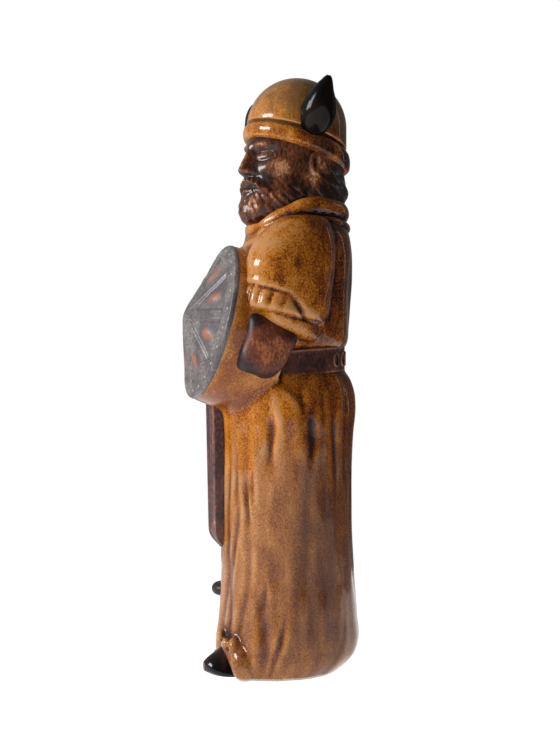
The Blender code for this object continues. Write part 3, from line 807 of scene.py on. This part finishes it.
SHIELD_TURN = np.array(Matrix.Rotation(-SHIELD_LEAN, 3, "X") @ Matrix.Rotation(math.pi / 2, 3, "X"))
SHIELD_PLACE = np.array(SHIELD_CENTRE)[:, None]


def on_shield(x, y, z):
    """Puts points given on the shield's own face, with z out of it, in the figure's place."""
    return SHIELD_TURN @ rows((x, y, z)) + SHIELD_PLACE


def wall_shape(angle, share):
    """The wall narrows to the back, where its lower edge sags into the coat."""
    depth = -WALL_DEPTH * (1 - share)
    radius = SHIELD_RADIUS - 0.5 * hump(share - 1, 0.04) - 3.0 * (1 - share) ** 2
    sag = 9.0 * (1 - share) ** 1.4 * np.clip(cos(angle), 0, 1) ** 1.5
    return on_shield(radius * sin(angle), -radius * cos(angle) - sag, depth - 0.3)


shield_wall = mould("shield_wall", wall_shape, 200, 40)
lip_turn = Matrix.Rotation(math.radians(34), 3, "Z") @ Matrix.Rotation(math.radians(-22), 3, "Y")
hem = [
    lump("hem_lip", (18.6, -30.2, 13.4), (2.9, 3.6, 5.6), lip_turn),
    lump("hem_flap", (21.6, -28.4, 6.6), (5.4, 4.4, 8.0), lip_turn),
    lump("upper_curl", (8.3, -35.0, 18.2), (2.3, 2.1, 3.0)),
    lump("lower_curl", (13.6, -33.5, 15.2), (2.6, 2.3, 2.6)),
]
print("shield wall and", len(hem), "lumps")

# %% [markdown]
# ## Melting the amber forms together
# What is dipped in amber becomes two skins that meet under the belt: the coat with the shield's wall, and the
# tunic with its sleeves and collar. A spacing under 0.8 mm keeps the finest slots in each. Where the wall grows
# out of the coat, many more rounds of Smooth draw the seam into a long soft curve.

# %% Melt the amber forms
COAT_GRAIN, TUNIC_GRAIN = 0.79, 0.70
SEAM_ANGLE, SEAM_LOW, SEAM_HIGH, SEAM_FRONT = 62, 116, 146, -43

lower = melt("coat_and_shield_wall", [coat, shield_wall, *hem], COAT_GRAIN, 3)
x, y, z = read_points(lower)
near = np.degrees(np.abs(np.arctan2(x, -y))) < SEAM_ANGLE
near &= (z > SEAM_LOW) & (z < SEAM_HIGH) & (y > SEAM_FRONT)
seam = lower.vertex_groups.new(name="seam_under_shield")
seam.add(np.flatnonzero(near).tolist(), 1.0, "REPLACE")
apply_modifier(lower, "SMOOTH", factor=0.5, iterations=60, vertex_group=seam.name)
cut_level(lower)
finish_piece(lower, AMBER, calm=(((0, -30, 131), 24), ((19, -30, 8), 11)))
upper = melt("tunic_and_sleeves", [tunic, collar, collar_crease, *sleeves], TUNIC_GRAIN, 3)
finish_piece(upper, AMBER, calm=(((32, 3, 158), 11), ((-32, 3, 158), 11)))

# %% [markdown]
# ## The head
# The face is a plain, calm one on the usual proportions: the eyes half way down the skull, the nose's foot half
# way from brow to chin, the mouth a third of the way below it. Each feature is a low hump or hollow on a smooth
# egg. The beard is short and full, and the hair falls over the ears and rolls up at the nape.

# %% Face, beard and hair
BRIM_MIDDLE = 246.7
HEAD_TURN = math.radians(14.0)
FACE = [
    (-41, 9, 12, 9),
    (-38, 12.5, 24.5, 14),
    (-34, 15.8, 29.4, 16.5),
    (-28, 17.8, 29.4, 18.5),
    (-22, 18.8, 27.2, 19.5),
    (-14, 19.4, 25.8, 20.5),
    (-6, 20, 25.4, 21.5),
    (2, 20.6, 24, 22),
    (12, 18, 19, 19),
]
HAIR = [
    (-37, 15, 15),
    (-33.5, 19.4, 19.5),
    (-27, 21.4, 22.6),
    (-21.5, 21.8, 25.2),
    (-15, 21, 23.4),
    (-6, 21.6, 21.6),
    (2, 21.6, 21.6),
    (10, 18, 18),
]


def in_head(left, forward, up):
    """Puts points given from the middle of the helmet's brim, in the turned head's directions, in place."""
    x = left * math.cos(HEAD_TURN) + forward * math.sin(HEAD_TURN)
    y = NECK_MIDDLE + left * math.sin(HEAD_TURN) - forward * math.cos(HEAD_TURN)
    return x, y, BRIM_MIDDLE + up


# How far it stands out, place to the side and half width, height and half height, how much it bends upward
FEATURES = {
    "brow": (1.9, 7.5, 5.5, -1, 1.9, 0),
    "socket": (-3, 8, 4.4, -6, 2.9, 0),
    "eye": (2.5, 8, 3.4, -6.2, 2, 0),
    "upper lid's edge": (-0.9, 8, 4.2, -4, 0.45, -0.03),
    "lower lid's edge": (-0.7, 8, 3.8, -8.6, 0.5, 0.03),
    "cheekbone": (1.8, 12, 5, -12, 4.2, 0),
    "nose's wing": (1.6, 3.7, 1.6, -13.4, 1.6, 0),
    "nostril": (-0.8, 1.9, 0.9, -15.2, 0.7, 0),
    "mouth": (-1.3, 0, 5, -20.5, 0.7, 0),
    "lower lip": (1.4, 0, 3.6, -22.2, 1.1, 0),
}


def face_relief(left, up):
    side = np.abs(left)
    bridge = np.clip((-2.0 - up) / 12.0, 0.0, 1.0)  # the nose stands out more and grows wider on the way down
    relief = (1.6 + 5.4 * bridge) * hump(left, 2.3 + 1.5 * bridge) * window(up, -14.6, 2.0, 0.55)
    for depth, aside, width, level, tall, bend in FEATURES.values():
        relief += depth * hump(side - aside, width) * hump(up - level - bend * (side - aside) ** 2, tall)
    moustache = up + 17.2 + 0.050 * side**2
    locks = 0.75 + 0.25 * cos(2.4 * side + 1.2 * moustache)
    return relief + 2.9 * hump(moustache, 1.9) * window(side, -9, 10.5, 1.2) * locks


def beard_locks(left, up, forward):
    """Short curling locks, that run down and in towards the chin and start on the cheek."""
    side = np.abs(left)
    edge = -21.0 + 0.30 * np.clip(side - 7, 0, 14)
    inside = window(up, -44, 0, 1) * window(edge - up, 0, 60, 1.6) * (0.45 + 0.55 * window(side, -1, 11, 2.5))
    lean = side * (1 + 0.03 * (up + 22)) + 0.35 * (26 - forward)
    sway = 1.1 * sin(0.62 * up + 0.30 * side) + 0.6 * sin(1.1 * up - 0.9 * lean)
    curl = cos(1.9 * lean + sway)
    short = 0.6 + 0.4 * sin(0.75 * up + 1.1 * lean)
    knots = cos(1.3 * up + 0.8 * lean) * cos(1.5 * lean - 0.6 * up)
    return inside * (0.35 + 0.42 * curl * short + 0.26 * knots)


def face_shape(angle, share):
    up, half_width, front, back = rising(FACE, share)
    depth = np.where(cos(angle) > 0, front, back)
    left, forward = half_width * sin(angle), depth * cos(angle)
    facing = np.clip(1.6 * cos(angle), 0, 1)
    locks = beard_locks(left, up, forward) * np.clip(2.5 * cos(angle) + 0.9, 0, 1)
    forward = forward + facing * face_relief(left, up) + locks * cos(angle)
    left = left + locks * sin(angle)
    return in_head(left, forward, up)


def hair_shape(angle, share):
    up, half_width, back = rising(HAIR, share)
    sweep = up + 11 * np.abs(angle)
    lock = 0.22 * cos(0.95 * sweep + 0.8 * sin(4 * angle))
    lock = lock + 0.08 * cos(2.6 * sweep + 1.2 * sin(7 * angle))
    lock = (lock + 0.4) * window(up, -36, 0, 2)
    depth = np.where(cos(angle) > 0, 9.0 - 0.22 * (up + 20), back + lock)
    return in_head((half_width + lock) * sin(angle), depth * cos(angle), up)


face = mould("face", face_shape, 320, 240)
hair = mould("hair", hair_shape, 280, 160)
print("face and hair modelled")

# %% [markdown]
# An ear shows below the helmet, in front of the hair. It is a flat lump with a rolled rim and a hollow.

# %% Ears and melting the head
def ear_shape(side, angle, tube):
    out = 1.15 * cos(tube)
    reach = 19.9 + 1.3 * sin(tube) + 0.5 * sin(angle)
    back = -1.0 + (3.1 + out) * sin(angle)
    up = -9.6 - (4.9 + out) * cos(angle) * np.where(cos(angle) > 0, 1.15, 1.0)
    return in_head(side * reach, -back, up)


ears = [ring(f"ear_{side}", partial(ear_shape, side), 64, 20) for side in SIDES.values()]
for side in SIDES.values():
    ears.append(lump(f"ear_lobe_{side}", in_head(side * 18.9, 1.0, -9.8), (1.8, 3.4, 5.0)))
head = melt("head", [face, hair, *ears], 0.5, 2)

# %% [markdown]
# Brows, the nose's ridge, the ears and the beard's front were wiped with a cloth, and so were the cheekbones,
# whose pale spot is also a painted highlight where the window's light catches them. A soft spot on each stores how
# hard.

# %% Rubbed spots on the head
# To the side, forward, up, reach, how hard
RUBBED = [
    # The first spot, on the cheekbone, is partly wiped glaze and partly a painted highlight.
    (14.5, 18, -13, 5, 1),
    (9, 25, -2, 3.5, 0.5),
    (0, 33, -9, 4, 0.6),
    (20.5, -1, -10, 6, 0.8),
    (20, 4, -17, 4, 0.9),
    (19, 10, -11, 5, 0.25),
    (6, 28, -29, 4.5, 0.6),
    (14, 20, -26, 5, 0.5),
    (17, 14, -4, 4, 0.35),
]
x, y, up = read_points(head) - np.array([0, NECK_MIDDLE, BRIM_MIDDLE])[:, None]
left = x * math.cos(HEAD_TURN) + y * math.sin(HEAD_TURN)
forward = x * math.sin(HEAD_TURN) - y * math.cos(HEAD_TURN)
rubbed_and_highlit = np.full(len(x), -0.15)
for side, ahead, level, reach, hard in RUBBED:
    away = (np.abs(left) - side) ** 2 + (forward - ahead) ** 2 + (up - level) ** 2
    rubbed_and_highlit += hard * np.exp(-away / reach**2)
store(head, "rubbed", rubbed_and_highlit)
finish_piece(head, SKIN, (8, 0.30), (60, 1.2))

# %% [markdown]
# ## The helmet
# A round cap with a flat rolled brim that slopes down to the back. Only a narrow groove parts the two, where the
# glaze runs in and turns black. A ball is shaped ring by ring: the lower rings follow the sloping brim and the
# upper ones level out into the dome.

# %% Helmet
HELMET_RADIUS = 23.8
HELMET_MIDDLE = 256.4
BRIM_SLOPE = 0.305
# Share of the brim's profile, how far out of the cap's radius, height above the brim's middle
BRIM = [
    (0, -7, -2.5),
    (0.12, -3, -3.6),
    (0.22, -0.6, -4.3),
    (0.32, 1.1, -3.4),
    (0.48, 1.8, -1),
    (0.62, 1.7, 1.4),
    (0.73, 1, 3.2),
    (0.80, -0.2, 4),
    (0.86, -1.7, 4.3),
    (0.92, -1.5, 5.1),
    (1, 0.1, 6),
]
BRIM_SHARE = 0.45


def brim_line(y):
    return BRIM_MIDDLE - BRIM_SLOPE * (y - NECK_MIDDLE)


def helmet_shape(angle, share):
    out, up = through(BRIM, share / BRIM_SHARE)
    taller = 1 - 0.13 * cos(angle)
    middle = brim_line(NECK_MIDDLE - HELMET_RADIUS * cos(angle))
    # The dome: straight up as far as its middle, then round
    start = (middle + BRIM[-1][2] * taller - HELMET_MIDDLE) / HELMET_RADIUS
    rise = np.arcsin(np.clip(start, -0.9, 0.9))
    climb = rise + (np.pi / 2 - rise) * np.clip((share - BRIM_SHARE) / (1 - BRIM_SHARE), 0, 1)
    level = np.where(climb < 0, climb, sin(np.clip(climb, 0, np.pi / 2)))
    dome_radius = (HELMET_RADIUS + 0.1) * cos(np.clip(climb, 0, np.pi / 2))
    dome = share > BRIM_SHARE
    radius = np.where(dome, dome_radius, HELMET_RADIUS + out)
    height = np.where(dome, HELMET_MIDDLE + HELMET_RADIUS * level, middle + up * taller)
    return oval(angle, (0, NECK_MIDDLE), radius, radius, height)


helmet = mould("helmet", helmet_shape, 256, 130)
outward(helmet)
apply_modifier(helmet, "SMOOTH", factor=0.5, iterations=2)
finish_piece(helmet, AMBER, (14, 0.25), (200, 6.0))

# %% [markdown]
# ## The horns
# Two fat black horns grow out of the helmet's sides and turn up to blunt tips. A ball is drawn out along a bent
# middle line, and each ring stands square to it.

# %% Horns
# Place, out from the helmet's middle, before it, height, radius
HORN = [
    (0, 20.8, 4.6, 253.2, 5.8),
    (0.6, 24, 4.7, 255.6, 7.4),
    (1.4, 27, 4.9, 259.3, 8.2),
    (2.2, 29.8, 5.2, 263.6, 7.1),
    (3.1, 32.6, 5.4, 268.2, 4.8),
    (3.7, 34.4, 5, 271.6, 2.8),
    (4, 34.9, 4.7, 273.3, 1.8),
    (4.2, 35.1, 4.6, 274.2, 1),
]
SET_BACK = 1.1  # the right horn was stuck on a little further back


def unit(vectors):
    return vectors / np.linalg.norm(vectors, axis=0)


def horn_shape(side, angle, share):
    place, reach, forward, height, radius = rising(HORN, share)
    run = unit((through(HORN, place + 0.02) - through(HORN, place - 0.02))[:3])
    across = unit(np.cross(run, np.array([0.0, 1.0, 0.0])[:, None], axis=0))
    over = np.cross(run, across, axis=0)
    out, ahead, up = radius * (sin(angle) * across + cos(angle) * over)
    return in_head(side * (reach + out), forward + ahead - SET_BACK * (side < 0), height - BRIM_MIDDLE + up)


for label, side in SIDES.items():
    horn = mould(f"{label}_horn", partial(horn_shape, side), 72, 64)
    outward(horn)
    finish_piece(horn, BLACK)

# %% [markdown]
# ## The shield's face
# A blunt cone with eight sunk triangles that point at its tip, each with a soft boss in its middle, and a flat
# band with rivets round the rim. The bosses were rubbed with the thumb, so that the red clay shows through. As on
# the head, a number stored on the points tells the glaze where.

# %% Shield face
CONE = 14.0
TIP_RADIUS = 3.0
RIM_BAND = 8.0
PANELS = 8
RIVETS = 24
FACE_TURN = math.radians(-2.5)
PANEL_START, PANEL_END, PANEL_SPREAD = 6.5, 30.0, 0.40
BACK_SHARE, EDGE_SHARE = 0.06, 0.15
DISC_BACK = -2.0


def face_height(radius, turn):
    """Height of the shield's face, and how far it was rubbed."""
    aside = (turn * PANELS / (2 * np.pi)) % 1.0 - 0.5
    off = np.abs(aside) * 2 * np.pi / PANELS * radius
    inside = np.minimum(PANEL_SPREAD * (radius - PANEL_START) - off, PANEL_END - radius)
    panel = window(inside, 0, 99, 0.30)
    lip = hump(inside + 0.9, 0.7)
    boss = hump(off, 2.6) * hump(radius - 21.5, 4.2)
    nose = CONE * (1 - np.sqrt(radius**2 + TIP_RADIUS**2) / np.hypot(SHIELD_RADIUS, TIP_RADIUS))
    height = nose + 0.1 - 0.95 * panel + 0.12 * lip + 1.0 * boss
    height += 0.35 * hump(radius - SHIELD_RADIUS + 0.9, 0.8)
    return height, hump(off, 3.2) * hump(radius - 22.5, 5.0)


def shield_shape(angle, share):
    """The disc's back takes the first few rings, its rounded edge the next, and its face the rest."""
    rim = SHIELD_RADIUS - 0.5
    under = share < BACK_SHARE
    edge = (share >= BACK_SHARE) & (share < EDGE_SHARE)
    face_radius = SHIELD_RADIUS * np.clip((1 - share) / (1 - EDGE_SHARE), 0, 1)
    radius = np.minimum(np.where(under, 0.97 * SHIELD_RADIUS * share / BACK_SHARE, face_radius), rim)
    height, _ = face_height(radius, angle + FACE_TURN)
    climb = (share - BACK_SHARE) / (EDGE_SHARE - BACK_SHARE)
    radius = np.where(edge, rim + 0.5 * sin(np.pi * climb), radius)
    height = np.where(edge, DISC_BACK + climb * (height - DISC_BACK), np.where(under, DISC_BACK, height))
    return on_shield(radius * sin(angle), -radius * cos(angle), height)


disc = mould("shield_disc", shield_shape, 384, 160)
outward(disc)
x, y, z = np.linalg.inv(SHIELD_TURN) @ (read_points(disc) - SHIELD_PLACE)
rubbed = face_height(np.hypot(x, y), np.arctan2(x, -y) + FACE_TURN)[1] * (z > 0)
rivets = []
for number in range(RIVETS):
    spot = 2 * math.pi * (number + 0.5) / RIVETS
    reach = SHIELD_RADIUS - 0.42 * RIM_BAND
    height = float(face_height(np.array([reach]), np.array([spot + FACE_TURN]))[0][0])
    centre = on_shield(np.array([reach * math.sin(spot)]), -reach * math.cos(spot), height - 0.45)[:, 0]
    rivets.append(lump(f"rivet_{number}", centre, (0.8, 0.8, 0.8), segments=16, splits=0))
shield = join("shield_face", [disc, *rivets])
on_rivets = np.full(len(shield.data.vertices) - len(rubbed), 0.25)
store(shield, "rubbed", np.concatenate([rubbed, on_rivets]))
finish_piece(shield, SLATE, (6, 0.18), (60, 0.8), 40)

# %% [markdown]
# ## The gloves
# From each elbow a thick leather cuff reaches forward and in to the shield's back. It is boxy and swollen, with
# a dark smooth edge and a rough, reddish middle where the glaze was wiped.

# %% Gloves
# The cuff's corners seen from the side, as far back and high
GLOVE_CORNERS = [(-29.2, 168.4), (-4.6, 156.6), (-16.6, 136.0), (-34.6, 141.8)]
GLOVE_MIDDLE = np.mean(GLOVE_CORNERS, axis=0)
GLOVE_INNER, GLOVE_OUTER = 16.0, 41.6


def glove_outline(angle):
    """The reach of a rounded four-cornered outline from its middle, for each angle from straight down."""
    corners = np.array(GLOVE_CORNERS)
    way = np.stack([sin(angle), -cos(angle)])
    total = 0
    for one, other in zip(corners, np.roll(corners, -1, axis=0)):
        along = (other - one) / np.linalg.norm(other - one)
        normal = np.array([-along[1], along[0]])
        normal = normal * np.sign(normal @ (one - GLOVE_MIDDLE))
        total = total + np.clip(normal @ way / (normal @ (one - GLOVE_MIDDLE)), 0, None) ** 6
    return total ** (-1 / 6)


def glove_shape(side, angle, share):
    depth = 2 * share - 1
    pillow = (1 - np.abs(depth) ** 3.4) ** (1 / 3.4)
    dent = 0.25 * cos(3 * angle + 5 * depth) + 0.2 * cos(5 * angle - 7 * depth)
    radius = glove_outline(angle) * pillow + dent
    back, high = radius * sin(angle), -radius * cos(angle)
    x = (GLOVE_INNER + GLOVE_OUTER) / 2 + (GLOVE_OUTER - GLOVE_INNER) / 2 * depth + 0.12 * back
    return side * x, GLOVE_MIDDLE[0] + back, GLOVE_MIDDLE[1] + high


for label, side in SIDES.items():
    glove = mould(f"{label}_glove", partial(glove_shape, side), 160, 112)
    outward(glove)
    x, y, z = read_points(glove)
    off = np.hypot(y - GLOVE_MIDDLE[0] - 1, z - GLOVE_MIDDLE[1]) / 12.0
    store(glove, "rubbed", 1.2 * np.exp(-(off**5)) * window(np.abs(x), 34, 60, 1.0))
    finish_piece(glove, LEATHER, (10, 0.2), (120, 2.2))

# %% [markdown]
# ## The belt
# A wide dark band under the tunic's edge, with a row of small oval rings pressed out round the back. The band is
# one torus squared off into a strap, and one formula shapes each ring in its place on it.

# %% Belt
BELT_MIDDLE = 144.3
BELT_HALF = 6.3
BELT_SAG = 2.2
WAIST_WIDTH, WAIST_FRONT, WAIST_BACK = 28.5, -27.0, 26.6
RING_ANGLES = range(128, 234, 15)


def on_waist(angle, out, up):
    middle = (0, (WAIST_FRONT + WAIST_BACK) / 2)
    depth = (WAIST_BACK - WAIST_FRONT) / 2
    return oval(angle, middle, WAIST_WIDTH + out, depth + out, BELT_MIDDLE + up - BELT_SAG * cos(angle))


def belt_shape(angle, tube):
    square = (np.abs(sin(tube)) ** 6 + np.abs(cos(tube)) ** 6) ** (-1 / 6)
    out = 1.6 * square * cos(tube) - 1.0
    lip = 0.35 * hump(np.abs(sin(tube) * square) - 0.86, 0.10) * (cos(tube) > 0)
    grain = 0.12 * cos(9 * angle) * cos(tube)
    return on_waist(angle, out + lip + grain, BELT_HALF * square * sin(tube))


def oval_shape(place, angle, tube):
    out = 0.55 * cos(tube)
    side = (2.0 + out) * sin(angle)
    up = (3.0 + out) * -cos(angle)
    return on_waist(place + side / WAIST_WIDTH, 0.75 + 0.55 * sin(tube), up)


strap = ring("belt_strap", belt_shape, 240, 48)
ovals = [ring(f"belt_oval_{turn}", partial(oval_shape, math.radians(turn)), 32, 12) for turn in RING_ANGLES]
for piece in (strap, *ovals):
    outward(piece)
belt = join("belt", [strap, *ovals])
finish_piece(belt, BELT, (8, 0.2), (80, 1.0), 40)

# %% [markdown]
# ## The sword
# It hangs point down in front of the coat, under the shield: a slab with a raised edge on both sides of a hollow
# and a slanting point. It starts as a long box that is cut into small faces. Then its points are moved, and
# one Subdivision softens the edges.

# %% Sword
SWORD_MIDDLE = -4.5
SWORD_HALF = 7.0
SWORD_TOP, SWORD_POINT = 140.0, 57.0
SWORD_FRONT, SWORD_BACK = -36.4, -26.0

bpy.ops.mesh.primitive_cube_add(
    size=1,
    location=MM * Vector((SWORD_MIDDLE, (SWORD_FRONT + SWORD_BACK) / 2, (SWORD_TOP + SWORD_POINT) / 2)),
    scale=MM * Vector((2 * SWORD_HALF, SWORD_BACK - SWORD_FRONT, SWORD_TOP - SWORD_POINT)),
)
sword = bpy.context.active_object
sword.name = "sword"
bpy.ops.object.transform_apply(location=True, rotation=True, scale=True)
for cuts in (6, 3):
    edit(sword, bpy.ops.mesh.subdivide, number_cuts=cuts)
x, y, z = read_points(sword)
across = (x - SWORD_MIDDLE) / SWORD_HALF
drop = np.clip((SWORD_TOP - z) / (SWORD_TOP - SWORD_POINT), 0, 1)
taper = 1.06 - 0.14 * drop - 0.55 * np.clip((drop - 0.93) / 0.07, 0, 1) ** 2
in_front = np.clip((SWORD_BACK - y) / (SWORD_BACK - SWORD_FRONT), 0, 1)
ridges = 1.0 * hump(np.abs(across) - 0.80, 0.20) + 0.5 * hump(across, 0.16) - 0.3
slant = 5.0 * np.clip((drop - 0.92) / 0.08, 0, 1) ** 1.5
lift = in_front**3 * (ridges + 0.6 * (1 - drop) - 1.0 * drop - slant)
write_points(sword, rows((SWORD_MIDDLE + SWORD_HALF * across * taper, y - lift, z)))
apply_modifier(sword, "SUBSURF", levels=1, render_levels=1)
finish_piece(sword, IRON, (12, 0.25), (80, 1.0), calm=(((SWORD_MIDDLE, SWORD_FRONT, SWORD_POINT), 13),))

# %% [markdown]
# ## The boots
# The left boot's black toe pokes out under the hem. The right boot stands in the slit in front, with a turned-down
# cuff at the top of its shaft. Soft lumps are melted into one skin for each.

# %% Boots
# Place on the boot, how far ahead, half width, height of the ridge, height of its widest line
TOE = [
    (0, -16, 9, 18, 0),
    (1, -26, 9.6, 16.4, 0),
    (2, -32, 9.2, 13.4, 0.8),
    (3, -37, 7.6, 9.8, 2.2),
    (4, -40, 5.6, 7.6, 3.4),
    (5, -42.2, 2, 5.6, 4.4),
]


def toe_shape(angle, share):
    _, ahead, half_width, ridge, sole = rising(TOE, share)
    up = np.clip(cos(angle), -1, 1)
    high = np.where(up > 0, sole + (ridge - sole) * up ** 1.15, sole + 3 * up)
    side = half_width * sin(angle) * (1 - 0.10 * cos(angle))
    return 6.4 + side + 0.08 * (ahead + 30), ahead, high


left_boot = melt("left_boot", [mould("left_toe", toe_shape, 96, 64)], 0.5, 4)
cut_level(left_boot)
finish_piece(left_boot, TOE_GLASS)


def shaft_shape(angle, share):
    up, radius = rising([(-2, 6.6), (12, 5.8), (26, 6.0), (36, 6.4)], share)
    return oval(angle, (-8.5, -24.5), radius, radius, up)


def cuff_shape(angle, tube):
    reach = 5.2 + 3.0 * cos(tube)
    return oval(angle, (-8.5, -26.6), reach, reach, 36.6 + 3.0 * sin(tube))


right_boot = melt(
    "right_boot",
    [
        lump("right_toe", (-10.5, -25.5, 1.5), (7.0, 9.0, 8.0), Matrix.Rotation(math.radians(-24), 3, "Z")),
        mould("right_shaft", shaft_shape, 64, 32),
        ring("right_cuff", cuff_shape, 64, 24),
    ],
    0.6,
    3,
)
cut_level(right_boot)
finish_piece(right_boot, LEATHER)

# %% [markdown]
# ## Floor and light
# Glossy glaze is drawn by what it mirrors. A pale table gives the milky lower half of each reflection, a darker
# room above it keeps the glaze deep, and a window on the left gives the bright spots. The camera itself sees
# plain white behind the figure.

# %% Floor
FLOOR_RADIUS = 0.80
bpy.ops.mesh.primitive_circle_add(
    vertices=96, radius=FLOOR_RADIUS, fill_type="NGON", location=0.48 * toward_camera - 0.10 * picture_right
)
bpy.ops.object.transform_apply(location=True, rotation=False, scale=False)
floor = bpy.context.active_object
floor.name = "floor"
WHITE = (1, 1, 1, 1)
paint = Recipe("pale_floor").pour(
    Base_Color=(0.35, 0.35, 0.35, 1.0), Roughness=0.8, Emission_Color=WHITE, Emission_Strength=0.96
)
floor.data.materials.append(paint)
floor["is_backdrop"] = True
print("floor radius", FLOOR_RADIUS, "m")

# %% Room and lights
ROOM_DIM, ROOM_BRIGHT = 0.07, 0.42  # away from the window, and all round it

world = bpy.data.worlds.new("room")
bpy.context.scene.world = world
room = Nodes(world)
direction = room.add("ShaderNodeTexCoord", {}, {}, "Generated")
window_way = -0.93 * picture_right - 0.36 * toward_camera
leftward = room.add("ShaderNodeVectorMath", {"operation": "DOT_PRODUCT"}, {0: direction, 1: window_way}, "Value")
limits = {"From Min": -0.35, "From Max": 0.85, "To Min": ROOM_DIM, "To Max": ROOM_BRIGHT}
fall = room.add("ShaderNodeMapRange", {"interpolation_type": "SMOOTHSTEP"}, {"Value": leftward, **limits})
seen = room.add("ShaderNodeBackground", {}, {"Color": WHITE, "Strength": 1.0})
mirrored = room.add("ShaderNodeBackground", {}, {"Color": (1.0, 0.98, 0.95, 1), "Strength": fall})
by_camera = room.add("ShaderNodeLightPath", {}, {}, "Is Camera Ray")
choice = room.add("ShaderNodeMixShader", {}, {0: by_camera, 1: mirrored, 2: seen})
room.feed(room.tree.nodes["World Output"].inputs["Surface"], choice)

FIGURE_MIDDLE = Vector((0, 0, 0.14))


def add_window(name, right, up, near, distance, size, power):
    """A rectangular light in a direction given as the camera sees it: to the right, up, and towards it."""
    direction = (right * picture_right + up * upward + near * toward_camera).normalized()
    place = FIGURE_MIDDLE + distance * direction
    bpy.ops.object.light_add(type="AREA", location=place, rotation=direction.to_track_quat("Z", "Y").to_euler())
    light = bpy.context.active_object
    light.name = name
    light.data.shape = "RECTANGLE"
    light.data.size, light.data.size_y = size
    light.data.energy = power


add_window("window", -0.90, 0.36, 0.30, 1.2, (0.54, 0.38), 13.5)
add_window("side_strip", 0.88, 0.25, -0.42, 1.4, (0.02, 1.0), 0.3)
bpy.context.scene.view_settings.view_transform = "Standard"

# %% Keep both boxes and finish
visual_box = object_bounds()
sizes = {
    "cad_box": [list(corner) for corner in solid_box],
    "visual_box": [list(corner) for corner in visual_box],
}
for label, box in sizes.items():
    print(label, [[round(1000 * part, 1) for part in corner] for corner in box])
